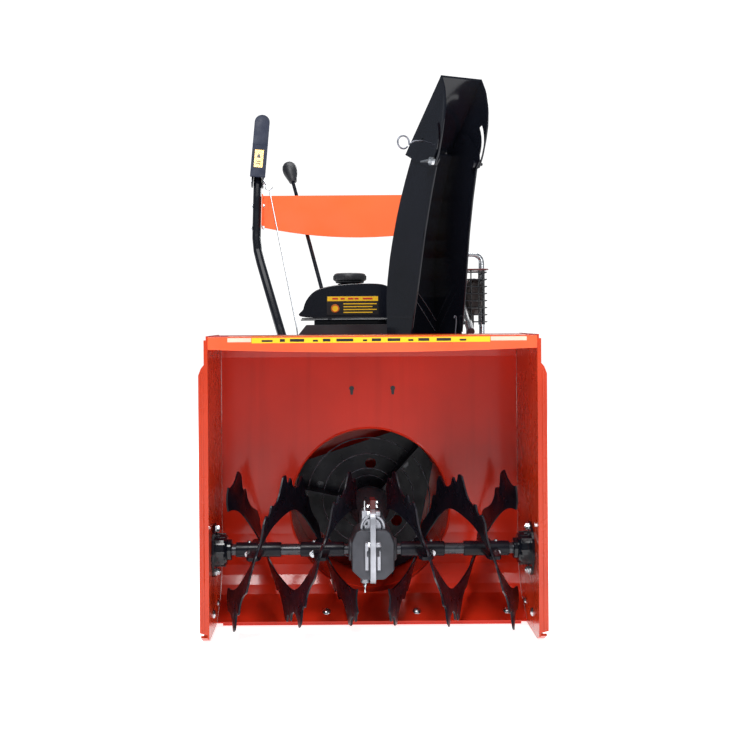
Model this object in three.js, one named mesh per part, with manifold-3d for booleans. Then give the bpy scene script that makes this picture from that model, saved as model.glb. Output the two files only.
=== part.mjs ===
// A two stage snowblower: a snow-gathering auger housing, an impeller that throws snow up a turning chute,
// an engine on a wheeled drive box, and the handlebars with their levers.
// Millimetres, +Z up, the open mouth of the housing looks along -Y. While it is being built, y = 0 is the
// mouth's front plane and z = 0 is the ground. The last lines centre the whole machine over the origin.
import * as THREE from "three";
import { mergeVertices } from "three/addons/utils/BufferGeometryUtils.js";
import Module from "manifold-3d";

const wasm = await Module();
wasm.setup();

// ---------------------------------------------------------------- driving dimensions
const GAP = 0.3; // clearance between pieces that touch
const SHEET = 3; // pressed steel sheet

const MOUTH_HALF = 280; // half of the inner width of the auger housing
const HOUSING_TOP = 525;
const BACK_WALL = 237; // inner face of the housing's back wall
const AUGER_Y = 82;
const AUGER_Z = 150;
const AUGER_TIP = 141; // outer radius of the flight teeth
const FLIGHT_INNER = 79;
const FLIGHT_ROOT = 118;
const FLIGHT_LEAD = 215; // travel along the shaft in one turn
const SHAFT_RADIUS = 10;

const FLOOR_TILT = THREE.MathUtils.degToRad(26.6); // slope of the housing's floor behind the scraper
const FLOOR_RADIUS = 145; // distance from the auger axis to the floor's inner face
const WRAP_RADIUS = 155; // inner radius of the wrap behind the auger

const IMPELLER_Z = 198;
const IMPELLER_RADIUS = 146;
const DRUM_INNER = 151;
const DRUM_BACK = 420;
const PLATE_Y = 349; // front face of the impeller's back plate

const CHUTE_X = 114;
const CHUTE_Y = 345;
const CHUTE_TURN = 28; // degrees that the chute is turned toward +X
const RING_Z = 500; // top of the drum's outlet duct
const CHUTE_WIDTH = 120; // at the foot
const CHUTE_TAPER = 0.08; // loss of width for each millimetre of height
const DEFLECTOR_PIVOT = { forward: 76, z: 898 };
const LOCK_BOLT = { forward: 116, z: 853 };
const HOOD_HALF = 50.5;
const HOOD_TAPER = 0.0011; // share of its width that the hood loses for each millimetre above its hinge

const BOX_HALF = 150; // half width of the drive box
const BOX_BOTTOM = 95;
const DECK_Z = 330; // engine deck
const BOX_BACK = 840;
const CRANK_Z = 412;
const AXLE_Y = 700;
const TYRE_RADIUS = 165;
const TYRE_INNER_X = 182;
const TYRE_WIDTH = 100;

const HANDLE_RADIUS = 11;
const HANDLE_X = 268;
const DASH_LEAN = Math.atan2(65, 156); // lean of the handlebars at the dash panel
const LEVER_REST = 18; // degrees that a released lever stands off its grip

// ---------------------------------------------------------------- finishes
const finish = (color, roughness, metalness) =>
  new THREE.MeshStandardMaterial({ color, roughness, metalness });
const RED_PAINT = finish(0xd8341a, 0.25, 0.1);
const ORANGE_PAINT = finish(0xff7a45, 0.4, 0.0);
const BLACK_PAINT = finish(0x14141a, 0.25, 0.2);
const BLACK_PLASTIC = finish(0x1a1c22, 0.5, 0.0);
const RUBBER = finish(0x111111, 0.85, 0.0);
const CAST_ALUMINIUM = finish(0xa8abb0, 0.45, 0.8);
const STEEL = finish(0x9aa0a8, 0.35, 0.9);
const ZINC = finish(0xc8ccd2, 0.3, 0.9);

// ---------------------------------------------------------------- solids
function toSolid(geometry) {
  const bare = geometry.index ? geometry.toNonIndexed() : geometry.clone();
  bare.deleteAttribute("normal");
  bare.deleteAttribute("uv");
  const merged = mergeVertices(bare, 1e-3);
  const triVerts = new Uint32Array(merged.index.array);
  const make = () =>
    new wasm.Manifold(new wasm.Mesh({ numProp: 3, vertProperties: merged.attributes.position.array,
      triVerts }));
  const solid = make();
  if (solid.volume() >= 0) return solid;
  for (let i = 0; i < triVerts.length; i += 3) {
    [triVerts[i + 1], triVerts[i + 2]] = [triVerts[i + 2], triVerts[i + 1]];
  }
  return make();
}

function toGeometry(solid) {
  const mesh = solid.getMesh();
  const geometry = new THREE.BufferGeometry();
  geometry.setAttribute("position", new THREE.BufferAttribute(new Float32Array(mesh.vertProperties), 3));
  geometry.setIndex(new THREE.BufferAttribute(new Uint32Array(mesh.triVerts), 1));
  const flat = geometry.toNonIndexed();
  flat.computeVertexNormals();
  return flat;
}

const facingOut = (geometry) => toGeometry(toSolid(geometry));
const join = (...parts) => toGeometry(parts.map(toSolid).reduce((all, part) => all.add(part)));
const cut = (base, ...tools) =>
  toGeometry(tools.map(toSolid).reduce((left, tool) => left.subtract(tool), toSolid(base)));
const common = (a, b) => toGeometry(toSolid(a).intersect(toSolid(b)));

const box = (x0, x1, y0, y1, z0, z1) =>
  new THREE.BoxGeometry(x1 - x0, y1 - y0, z1 - z0).translate((x0 + x1) / 2, (y0 + y1) / 2, (z0 + z1) / 2);

// Turns a solid whose axis is Y so that its axis is X, Y or Z.
function along(axis, geometry) {
  if (axis === "x") geometry.rotateZ(-Math.PI / 2);
  if (axis === "z") geometry.rotateX(Math.PI / 2);
  return geometry;
}

// A round bar from a to b along an axis. centre holds the two other coordinates, in the order x, y, z.
function rod(axis, radius, a, b, centre = [0, 0], sides = 20) {
  const bar = along(axis, new THREE.CylinderGeometry(radius, radius, b - a, sides));
  const middle = (a + b) / 2;
  const place = { x: [middle, ...centre], y: [centre[0], middle, centre[1]], z: [...centre, middle] }[axis];
  return bar.translate(...place);
}

// A turned piece: its points are [radius, distance along the axis]. One that starts off the axis is a ring.
function turned(axis, profile, centre = [0, 0, 0], sides = 24) {
  const hollow = profile[0][0] > 0;
  const points = (hollow ? [...profile, profile[0]] : profile).map(([r, h]) => new THREE.Vector2(r, h));
  return facingOut(along(axis, new THREE.LatheGeometry(points, sides)).translate(...centre));
}

const outline = (points) => new THREE.Shape(points.map(([a, b]) => new THREE.Vector2(a, b)));
const slab = (shape, depth) => new THREE.ExtrudeGeometry(shape, { depth, bevelEnabled: false,
  curveSegments: 10 });

// Prisms: outline points are [y, z] for prismX, [x, z] for prismY and [x, y] for prismZ.
const prismX = (points, x0, x1) =>
  facingOut(slab(outline(points), x1 - x0).applyMatrix4(
    new THREE.Matrix4().set(0, 0, 1, x0, 1, 0, 0, 0, 0, 1, 0, 0, 0, 0, 0, 1)));
const prismY = (points, y0, y1) =>
  facingOut(slab(outline(points), y1 - y0).applyMatrix4(
    new THREE.Matrix4().set(1, 0, 0, 0, 0, 0, 1, y0, 0, 1, 0, 0, 0, 0, 0, 1)));
const prismZ = (points, z0, z1) => facingOut(slab(outline(points), z1 - z0).translate(0, 0, z0));

// Points on an arc, angles in degrees.
function arc(cx, cy, radius, from, to, steps) {
  return Array.from({ length: steps + 1 }, (_, i) => {
    const angle = THREE.MathUtils.degToRad(from + ((to - from) * i) / steps);
    return [cx + radius * Math.cos(angle), cy + radius * Math.sin(angle)];
  });
}

// The closed outline of a sheet whose one face follows path and whose other face lies to the right of it.
function sheetOutline(path, thickness) {
  const side = path.map((point, i) => {
    const before = path[Math.max(i - 1, 0)];
    const after = path[Math.min(i + 1, path.length - 1)];
    const inward = new THREE.Vector2(point[0] - before[0], point[1] - before[1]).normalize();
    const outward = new THREE.Vector2(after[0] - point[0], after[1] - point[1]).normalize();
    const run = inward.clone().add(outward).normalize();
    const lead = i === 0 || i === path.length - 1 ? run : inward;
    const reach = thickness / Math.max(run.dot(lead), 0.5);
    return [point[0] + run.y * reach, point[1] - run.x * reach];
  });
  return [...path, ...side.reverse()];
}

// A straight-run tube path whose corners are rounded.
function bentPath(points, bend) {
  const corners = points.map((p) => new THREE.Vector3(...p));
  const path = new THREE.CurvePath();
  let start = corners[0];
  for (let i = 1; i < corners.length - 1; i++) {
    const back = corners[i].clone().sub(corners[i - 1]).setLength(bend);
    const ahead = corners[i + 1].clone().sub(corners[i]).setLength(bend);
    const enter = corners[i].clone().sub(back);
    const leave = corners[i].clone().add(ahead);
    path.add(new THREE.LineCurve3(start, enter));
    path.add(new THREE.QuadraticBezierCurve3(enter, corners[i], leave));
    start = leave;
  }
  path.add(new THREE.LineCurve3(start, corners.at(-1)));
  return path;
}

function tube(points, radius, bend, steps, sides = 12) {
  const section = new THREE.Shape(
    Array.from({ length: sides }, (_, i) => {
      const angle = (2 * Math.PI * i) / sides;
      return new THREE.Vector2(radius * Math.cos(angle), radius * Math.sin(angle));
    }));
  const extrudePath = points.length > 2
    ? bentPath(points, bend)
    : new THREE.LineCurve3(new THREE.Vector3(...points[0]), new THREE.Vector3(...points[1]));
  return facingOut(new THREE.ExtrudeGeometry(section, { steps, extrudePath }));
}

// ---------------------------------------------------------------- the tree of pieces
const machine = new THREE.Group();

function add(name, geometry, material, parent = machine) {
  const mesh = new THREE.Mesh(geometry, material);
  mesh.name = name;
  parent.add(mesh);
  return mesh;
}

const SIDES = [["left", -1], ["right", 1]];
const mirrored = (geometry, side) => (side > 0 ? geometry : facingOut(geometry.clone().scale(-1, 1, 1)));

// ---------------------------------------------------------------- auger housing
// A point of the housing's floor: run is measured up the slope, depth away from the auger axis.
function floorPoint(run, depth) {
  const foot = [
    AUGER_Y + Math.sin(FLOOR_TILT) * (FLOOR_RADIUS + depth),
    AUGER_Z - Math.cos(FLOOR_TILT) * (FLOOR_RADIUS + depth)];
  return [foot[0] + run * Math.cos(FLOOR_TILT), foot[1] + run * Math.sin(FLOOR_TILT)];
}

const FLOOR_FRONT = -22;
const FLOOR_END = Math.sqrt(WRAP_RADIUS ** 2 - FLOOR_RADIUS ** 2);
const WRAP_START = THREE.MathUtils.radToDeg(Math.atan2(
  floorPoint(FLOOR_END, 0)[1] - AUGER_Z, floorPoint(FLOOR_END, 0)[0] - AUGER_Y));
const TOP_BEND = 40;
const LIP_HEIGHT = 20;

function buildHousing() {
  const path = [
    floorPoint(FLOOR_FRONT, 0),
    ...arc(AUGER_Y, AUGER_Z, WRAP_RADIUS, WRAP_START, 0, 6),
    ...arc(BACK_WALL - TOP_BEND, HOUSING_TOP - TOP_BEND, TOP_BEND, 0, 90, 5),
    [SHEET, HOUSING_TOP],
    [SHEET, HOUSING_TOP - LIP_HEIGHT]];
  const sheet = prismX(sheetOutline(path, SHEET), -MOUTH_HALF, MOUTH_HALF);
  const drumHole = rod("y", DRUM_INNER, 150, 260, [0, IMPELLER_Z], 40);
  add("housing_wrap", cut(sheet, drumHole), RED_PAINT);

  const panelEdge = [
    [0, 14], [28, 8], floorPoint(FLOOR_FRONT - 2, SHEET),
    ...arc(AUGER_Y, AUGER_Z, WRAP_RADIUS + SHEET + 1, WRAP_START, 0, 6),
    ...arc(BACK_WALL - TOP_BEND, HOUSING_TOP - TOP_BEND, TOP_BEND + SHEET + 1, 0, 90, 5),
    [0, HOUSING_TOP + SHEET + 1]];
  const inner = MOUTH_HALF + GAP;
  const flange = [
    [inner, 20], [296.5, 24], [296.5, 462], [292, 474], [287, 480], [287, 522], [inner, 522]];
  const panel = join(prismX(panelEdge, inner, inner + SHEET), prismY(flange, 0, SHEET));
  const skid = sheetOutline([[22, 14], [44, SHEET + 1], [176, SHEET + 1], [198, 14]], SHEET + 1);
  const skidPlate = [[44, 2], [176, 2], [170, 62], [50, 62]];
  const skidSide = inner + SHEET + GAP;
  const shoe = join(prismX(skid, skidSide, 297), prismX(skidPlate, skidSide, skidSide + 4));
  const bearing = turned("x", [
    [SHAFT_RADIUS + 0.5, -24], [25, -24], [29, -19], [29, -4.5], [47, -4.5], [47, -GAP],
      [SHAFT_RADIUS + 0.5, -GAP]],
    [MOUTH_HALF, AUGER_Y, AUGER_Z]);
  for (const [name, side] of SIDES) {
    add(`side_panel_${name}`, mirrored(panel, side), RED_PAINT);
    add(`skid_shoe_${name}`, mirrored(shoe, side), RED_PAINT);
    add(`auger_bearing_${name}`, mirrored(bearing, side), BLACK_PAINT);
  }

  const bar = [floorPoint(-21, 3 + GAP), floorPoint(50, 3 + GAP), floorPoint(50, 8.3), floorPoint(-22, 8.3)];
  add("scraper_bar", prismX(bar, -270, 270), RED_PAINT);
}

function buildDrum() {
  const front = BACK_WALL + SHEET + GAP;
  const wall = 3;
  const ductHalf = 70;
  const duct = box(CHUTE_X - ductHalf, CHUTE_X + ductHalf, CHUTE_Y - 68, CHUTE_Y + 68, IMPELLER_Z, RING_Z);
  const ductInside = box(
    CHUTE_X - ductHalf + wall, CHUTE_X + ductHalf - wall, CHUTE_Y - 65, CHUTE_Y + 65, IMPELLER_Z + wall,
      RING_Z + 5);
  const sleeve = rod("y", DRUM_INNER + wall, 190, DRUM_BACK, [0, IMPELLER_Z], 40);
  const housingSpace = prismX([
    [-100, -100], floorPoint(FLOOR_END, SHEET + 1),
    ...arc(AUGER_Y, AUGER_Z, WRAP_RADIUS + SHEET + 1, WRAP_START, 0, 6), [front, HOUSING_TOP], [-100,
      HOUSING_TOP]],
    -MOUTH_HALF, MOUTH_HALF);
  const shell = cut(join(sleeve, duct), housingSpace);
  const boss = rod("y", 30, DRUM_BACK - 20, DRUM_BACK - 2, [0, IMPELLER_Z]);
  const hollow = cut(shell, rod("y", DRUM_INNER, 180, DRUM_BACK - wall, [0, IMPELLER_Z], 40), ductInside);
  const bore = rod("y", SHAFT_RADIUS + 0.5, 300, 500, [0, IMPELLER_Z]);
  add("impeller_drum", cut(join(hollow, boss), bore), RED_PAINT);
  add("chute_base_ring", turned("z", [
    [62, RING_Z + GAP], [86, RING_Z + GAP], [86, RING_Z + 12], [62, RING_Z + 12]],
    [CHUTE_X, CHUTE_Y, 0], 32), BLACK_PAINT);
}

// ---------------------------------------------------------------- chute and deflector
// Draws a piece in toward x = 0 above a height, by a share of its width for each millimetre.
function narrow(geometry, above, share) {
  const spots = geometry.getAttribute("position");
  for (let i = 0; i < spots.count; i++) {
    const rise = Math.max(0, spots.getZ(i) - above);
    spots.setX(i, spots.getX(i) * (1 - share * rise));
  }
}

// Their frames stand on the chute's axis, turned with it: forward is -Y of the group.
function buildChute() {
  const turntable = new THREE.Group();
  turntable.position.set(CHUTE_X, CHUTE_Y, 0);
  turntable.rotation.z = THREE.MathUtils.degToRad(CHUTE_TURN);
  machine.add(turntable);

  const foot = RING_Z + 15;
  const back = [[45, foot], [49, 560], [52, 600], [50, 635], [43, 680], [34, 715], [20, 760], [8, 792],
    [-9, 830], [-23, 858], [-34, 878]];
  const crown = [[-52, 905], [-72, 918], [-92, 913], [-112, 890], [-130, 872], [-130, 856]];
  const front = [[-118, 843], [-101, 787], [-84, 720], [-64, 614], [-44.5, 530], [-44.5, foot]];
  const wide = CHUTE_WIDTH / 2;
  const solid = prismX([...back, ...crown, ...front], -wide, wide);
  const inside = [...back.map(([y, z]) => [y - 2.5, z]), [-36.5, 1000], [-400, 1000], [-400, foot - 20],
    [42.5, foot - 20]];
  const channel = cut(solid, prismX(inside, -wide + 2.5, wide - 2.5));
  narrow(channel, foot, CHUTE_TAPER / CHUTE_WIDTH);
  const pins = [
    [DEFLECTOR_PIVOT, 4.2],
    [LOCK_BOLT, 4.2]].map(([spot, radius]) => rod("x", radius, -80, 80, [-spot.forward, spot.z], 12));
  const collar = turned("z", [[62, foot - 2.5], [84, foot - 2.5], [84, foot + 4], [62, foot + 4]],
    [0, 0, 0], 32);
  const bolt = rod("x", 3.2, 39, 60, [-LOCK_BOLT.forward, LOCK_BOLT.z], 12);
  const head = rod("x", 8, 36, 40, [-LOCK_BOLT.forward, LOCK_BOLT.z], 12);
  const shoulder = rod("x", 4.8, 40, 47, [-LOCK_BOLT.forward, LOCK_BOLT.z], 12);
  add("chute", join(cut(channel, ...pins), collar, bolt, head, shoulder), BLACK_PAINT, turntable);

  const hood = [[-14, 878], [-137, 1012], [-150, 985], [-155, 953], [-152, 925], [-145, 897], [-134, 866],
    [-122, 845], [-104, 842], [-50, 862]];
  const pocket = [[-18.5, 876.5], [-139, 1008], [-400, 1008], [-400, 700], [-18.5, 700]];
  const hoodShell = cut(prismX(hood, -HOOD_HALF, HOOD_HALF), prismX(pocket, -HOOD_HALF + 2.5,
    HOOD_HALF - 2.5));
  narrow(hoodShell, DEFLECTOR_PIVOT.z + 25, HOOD_TAPER);
  const pinHole = rod("x", 4.2, -80, 80, [-DEFLECTOR_PIVOT.forward, DEFLECTOR_PIVOT.z], 12);
  const slotRadius = Math.hypot(LOCK_BOLT.forward - DEFLECTOR_PIVOT.forward,
    LOCK_BOLT.z - DEFLECTOR_PIVOT.z);
  const slotPath = (radius, from, to) =>
    arc(-DEFLECTOR_PIVOT.forward, DEFLECTOR_PIVOT.z, radius, from, to, 8);
  const slot = [...slotPath(slotRadius - 4.6, 155, 235), ...slotPath(slotRadius + 4.6, 235, 155)];
  add("deflector", cut(hoodShell, pinHole, prismX(slot, -80, 80)), BLACK_PAINT, turntable);

  const pinY = -DEFLECTOR_PIVOT.forward;
  const pinZ = DEFLECTOR_PIVOT.z;
  const ringCentre = -HOOD_HALF - 40;
  const ring = arc(ringCentre, pinZ - 8, 12, 70, -200, 9).map(([x, z]) => [x, pinY, z]);
  const wire = [[-HOOD_HALF + 8, pinY, pinZ], [-HOOD_HALF - 20, pinY, pinZ], ...ring];
  add("deflector_ring", tube(wire, 2, 2.4, 34, 6), STEEL, turntable);

  const nut = join(rod("x", 8, 52, 58, [0, 0], 12), box(56, 70, -15, 15, -1.5, 1.5));
  nut.translate(0, -LOCK_BOLT.forward, LOCK_BOLT.z);
  add("deflector_wing_nut", mirrored(nut, -1), ZINC, turntable);
}

// ---------------------------------------------------------------- augers
// One serrated ribbon flight of the right half. start is the angle about the shaft at its outer end.
function flight(start) {
  const stepsPerTooth = 3;
  const teeth = 15;
  const steps = stepsPerTooth * teeth;
  const sweep = 2 * Math.PI * 1.06;
  const toothShape = [FLIGHT_ROOT, AUGER_TIP - 6, AUGER_TIP];
  const halfThickness = 1.6;
  const points = [];
  const faces = [];
  for (let i = 0; i <= steps; i++) {
    const angle = (sweep * i) / steps;
    const x = 255 - (FLIGHT_LEAD * angle) / (2 * Math.PI);
    const outer = toothShape[i % stepsPerTooth];
    for (const [radius, offset] of [
      [FLIGHT_INNER, -halfThickness], [outer, -halfThickness], [outer, halfThickness], [FLIGHT_INNER,
        halfThickness]]) {
      points.push(x + offset, -Math.sin(angle + start) * radius, -Math.cos(angle + start) * radius);
    }
    if (i < steps) {
      const a = 4 * i;
      for (let k = 0; k < 4; k++) {
        const b = (k + 1) % 4;
        faces.push(a + k, a + b, a + 4 + b, a + k, a + 4 + b, a + 4 + k);
      }
    }
  }
  const last = 4 * steps;
  faces.push(0, 2, 1, 0, 3, 2, last, last + 1, last + 2, last, last + 2, last + 3);
  const geometry = new THREE.BufferGeometry();
  geometry.setAttribute("position", new THREE.Float32BufferAttribute(points, 3));
  geometry.setIndex(faces);
  return facingOut(geometry);
}

function buildAugers() {
  const shaftGroup = new THREE.Group();
  shaftGroup.position.set(0, AUGER_Y, AUGER_Z);
  machine.add(shaftGroup);
  const sleeveBore = SHAFT_RADIUS + GAP;
  const sleeve = (from, to) => turned("x", [[sleeveBore, from], [13, from], [13, to], [sleeveBore, to]],
    [0, 0, 0], 16);
  const arm = (x, side) => box(x - 15, x + 15, side > 0 ? 12 : -88, side > 0 ? 88 : -12, -3, 3);
  const half = join(
    flight(0), flight(Math.PI), sleeve(50, 127), sleeve(161, 241),
    arm(205, 1), arm(205, -1), arm(90, 1), arm(90, -1));
  for (const [name, side] of SIDES) add(`auger_${name}`, mirrored(half, side), BLACK_PAINT, shaftGroup);
  const gear = [];
  const teeth = 20;
  for (let i = 0; i < teeth; i++) {
    const pitch = 360 / teeth;
    gear.push(...arc(0, 0, 28.5, i * pitch, i * pitch + pitch * 0.4, 1));
    gear.push(...arc(0, 0, 32, i * pitch + pitch * 0.55, i * pitch + pitch * 0.85, 1));
  }
  const wheel = join(prismX(gear, -9, 9), rod("x", 17, -18, 18));
  add("auger_shaft", join(rod("x", SHAFT_RADIUS, -276, 276), wheel), STEEL, shaftGroup);
}

// ---------------------------------------------------------------- auger gearbox
function buildGearbox() {
  const y = AUGER_Y;
  const wheelCase = turned("x", [[0, -37], [24, -37], [31, -30], [31, -14], [47, -11], [47, 11], [31,
    14], [31, 30],
    [24, 37], [0, 37]], [0, y, AUGER_Z], 16);
  const wormCase = turned("y", [[0, -26], [17, -26], [23, -22], [23, 62], [19, 70], [19, 96], [0, 96]],
    [0, y, IMPELLER_Z], 16);
  const web = prismX([[y - 24, IMPELLER_Z], [y - 34, AUGER_Z], [y - 22, AUGER_Z - 50], [y + 20,
    AUGER_Z - 50],
    [y + 42, AUGER_Z], [y + 56, IMPELLER_Z], [y + 40, IMPELLER_Z + 27], [y - 18, IMPELLER_Z + 27]], -6, 6);
  const hollow = [
    turned("x", [[0, -20], [26, -20], [26, -12], [35, -10], [35, 10], [26, 12], [26, 20], [0, 20]], [0,
      y, AUGER_Z], 20),
    rod("x", SHAFT_RADIUS + 0.5, -60, 60, [y, AUGER_Z]),
    rod("y", 18, y - 22, y + 50, [0, IMPELLER_Z]),
    rod("y", SHAFT_RADIUS + 0.5, y, y + 120, [0, IMPELLER_Z])];
  const casting = cut(join(wheelCase, wormCase, web), ...hollow);
  add("gearbox_left", common(casting, box(-100, -GAP / 2, -50, 300, 50, 300)), CAST_ALUMINIUM);
  add("gearbox_right", common(casting, box(GAP / 2, 100, -50, 300, 50, 300)), CAST_ALUMINIUM);
}

// ---------------------------------------------------------------- impeller
function buildImpeller() {
  const group = new THREE.Group();
  group.position.z = IMPELLER_Z;
  machine.add(group);
  const chord = 112;
  const reach = THREE.MathUtils.radToDeg(Math.acos(chord / IMPELLER_RADIUS));
  const edge = [108, 228, 348].flatMap((normal) => arc(0, 0, IMPELLER_RADIUS, normal + reach,
    normal + 120 - reach, 5));
  const holes = [86, 207, 322].map((angle) => {
    const turn = THREE.MathUtils.degToRad(angle);
    return rod("y", 11, 300, 400, [71 * Math.cos(turn), 71 * Math.sin(turn)], 12);
  });
  const plate = cut(prismY(edge, PLATE_Y, PLATE_Y + 4), ...holes);
  const blades = [48, 168, 288].map((angle) =>
    box(18, IMPELLER_RADIUS - 1, PLATE_Y - 62, PLATE_Y + 1, -1.5,
      1.5).rotateY(-THREE.MathUtils.degToRad(angle)));
  const hub = rod("y", 20, PLATE_Y - 40, PLATE_Y + 14);
  add("impeller", cut(join(plate, hub, ...blades), rod("y", SHAFT_RADIUS + GAP, 200, 400)), BLACK_PAINT,
    group);
  const worm = [[0, AUGER_Y - 20], [8, AUGER_Y - 20], [8, AUGER_Y - 16]];
  for (let i = 0; i < 4; i++) {
    const y = AUGER_Y - 15 + i * 8;
    worm.push([11, y], [15.3, y + 2], [15.3, y + 4], [11, y + 6]);
  }
  worm.push([SHAFT_RADIUS, AUGER_Y + 20], [SHAFT_RADIUS, 474], [0, 474]);
  add("impeller_shaft", turned("y", worm, [0, 0, 0], 14), STEEL, group);
  add("impeller_pulley", pulley(88, 10.3, 452), STEEL, group);
}

// A V-belt pulley, its middle plane at y.
const pulley = (radius, bore, y) => turned("y", [
  [bore, y - 9], [radius, y - 9], [radius, y - 7], [radius - 9, y - 3], [radius - 9, y + 3], [radius, y + 7],
  [radius, y + 9], [bore, y + 9]], [0, 0, 0], 24);

// ---------------------------------------------------------------- drive box
// A loop of V-belt round two pulleys that stand over each other.
function beltLoop(lowZ, lowRadius, highZ, highRadius, y) {
  const tilt = THREE.MathUtils.radToDeg(Math.asin((lowRadius - highRadius) / (highZ - lowZ)));
  const loop = (grow) => [
    ...arc(0, highZ, highRadius + grow, tilt, 180 - tilt, 12),
    ...arc(0, lowZ, lowRadius + grow, 180 - tilt, 360 + tilt, 20)];
  return cut(prismY(loop(7), y - 2.5, y + 2.5), prismY(loop(1), y - 20, y + 20));
}

function buildDrive() {
  const y0 = DRUM_BACK + 0.5;
  const wall = 3;
  const shell = cut(
    box(-BOX_HALF, BOX_HALF, y0, BOX_BACK, BOX_BOTTOM, DECK_Z),
    box(-BOX_HALF + wall, BOX_HALF - wall, y0 + wall, BOX_BACK - wall, BOX_BOTTOM - 10, DECK_Z - wall),
    box(-135, 135, y0 + 18, 522, DECK_Z - 20, DECK_Z + 10),
    rod("y", 24, y0 - 10, y0 + 10, [0, IMPELLER_Z]),
    rod("x", 15, -200, 200, [AXLE_Y, TYRE_RADIUS]));
  add("drive_box", shell, BLACK_PAINT);
  add("bottom_cover", box(-BOX_HALF, BOX_HALF, y0, BOX_BACK, BOX_BOTTOM - 4, BOX_BOTTOM - GAP), BLACK_PAINT);

  const coverFront = 437;
  const coverEdge = (inset) => [
    [-141 + inset, DECK_Z + GAP], [-141 + inset, 524], [-124 + inset, 545 - inset], [96 - inset,
      545 - inset],
    [118 - inset, 520], [141 - inset, 470], [141 - inset, DECK_Z + GAP]];
  const coverHollow = prismY([[-138, 300], ...coverEdge(3).slice(1, -1), [138, 300]], coverFront + 3, 560);
  add("belt_cover", cut(prismY(coverEdge(0), coverFront, 524), coverHollow), BLACK_PLASTIC);

  add("auger_belt", beltLoop(IMPELLER_Z, 80, CRANK_Z, 29, 452), RUBBER);
  add("drive_belt", beltLoop(262, 41, CRANK_Z, 25, 490), RUBBER);

  const engineShaft = new THREE.Group();
  engineShaft.position.z = CRANK_Z;
  machine.add(engineShaft);
  const grooves = join(pulley(37, 0, 452), pulley(33, 0, 490), rod("y", 12, 445, 572));
  add("engine_pulley", grooves, STEEL, engineShaft);

  const discShaft = new THREE.Group();
  discShaft.position.z = 262;
  machine.add(discShaft);
  add("drive_disc", join(pulley(49, 0, 490), rod("y", 9, 485, 560), rod("y", 60, 556, 566, [0, 0], 32)),
    CAST_ALUMINIUM, discShaft);

  const crossShaft = new THREE.Group();
  crossShaft.position.set(0, 621, 262);
  machine.add(crossShaft);
  add("friction_wheel", join(rod("x", 54, -36, -26, [0, 0], 32), rod("x", 9, -145, 145, [0, 0], 6)),
    RUBBER, crossShaft);

  const swing = new THREE.Group();
  swing.position.set(124, 452, 250);
  machine.add(swing);
  const idler = join(
    rod("y", 20, -8, 8, [-14, 74]), prismY([[-8, -10], [8, -10], [-6, 80], [-22, 80]], 10, 14),
    rod("y", 5, 0, 14, [-14, 74], 12));
  add("idler_arm", idler, STEEL, swing);
}

// ---------------------------------------------------------------- wheels
function buildWheels() {
  const axle = new THREE.Group();
  axle.position.set(0, AXLE_Y, TYRE_RADIUS);
  machine.add(axle);
  add("axle", join(rod("x", SHAFT_RADIUS, -288, 288), rod("x", 48, 92, 98, [0, 0], 24)), STEEL, axle);
  const middle = TYRE_INNER_X + TYRE_WIDTH / 2;
  const rim = turned("x", [[SHAFT_RADIUS + GAP, -34], [17, -34], [17, -3], [84, -3], [95, -36], [104,
    -40], [104, 40],
    [95, 36], [84, 6], [17, 6], [17, 14], [SHAFT_RADIUS + GAP, 14]], [middle, 0, 0], 24);
  const tyre = turned("x", [[104.5, -40], [116, -48], [142, -50], [157, -44], [164, -30], [TYRE_RADIUS, -12],
    [TYRE_RADIUS, 12], [164, 30], [157, 44], [142, 50], [116, 48], [104.5, 40]], [middle, 0, 0], 24);
  for (const [name, side] of SIDES) {
    add(`rim_${name}`, mirrored(rim, side), ORANGE_PAINT, axle);
    add(`tyre_${name}`, mirrored(tyre, side), RUBBER, axle);
  }
}

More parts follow.
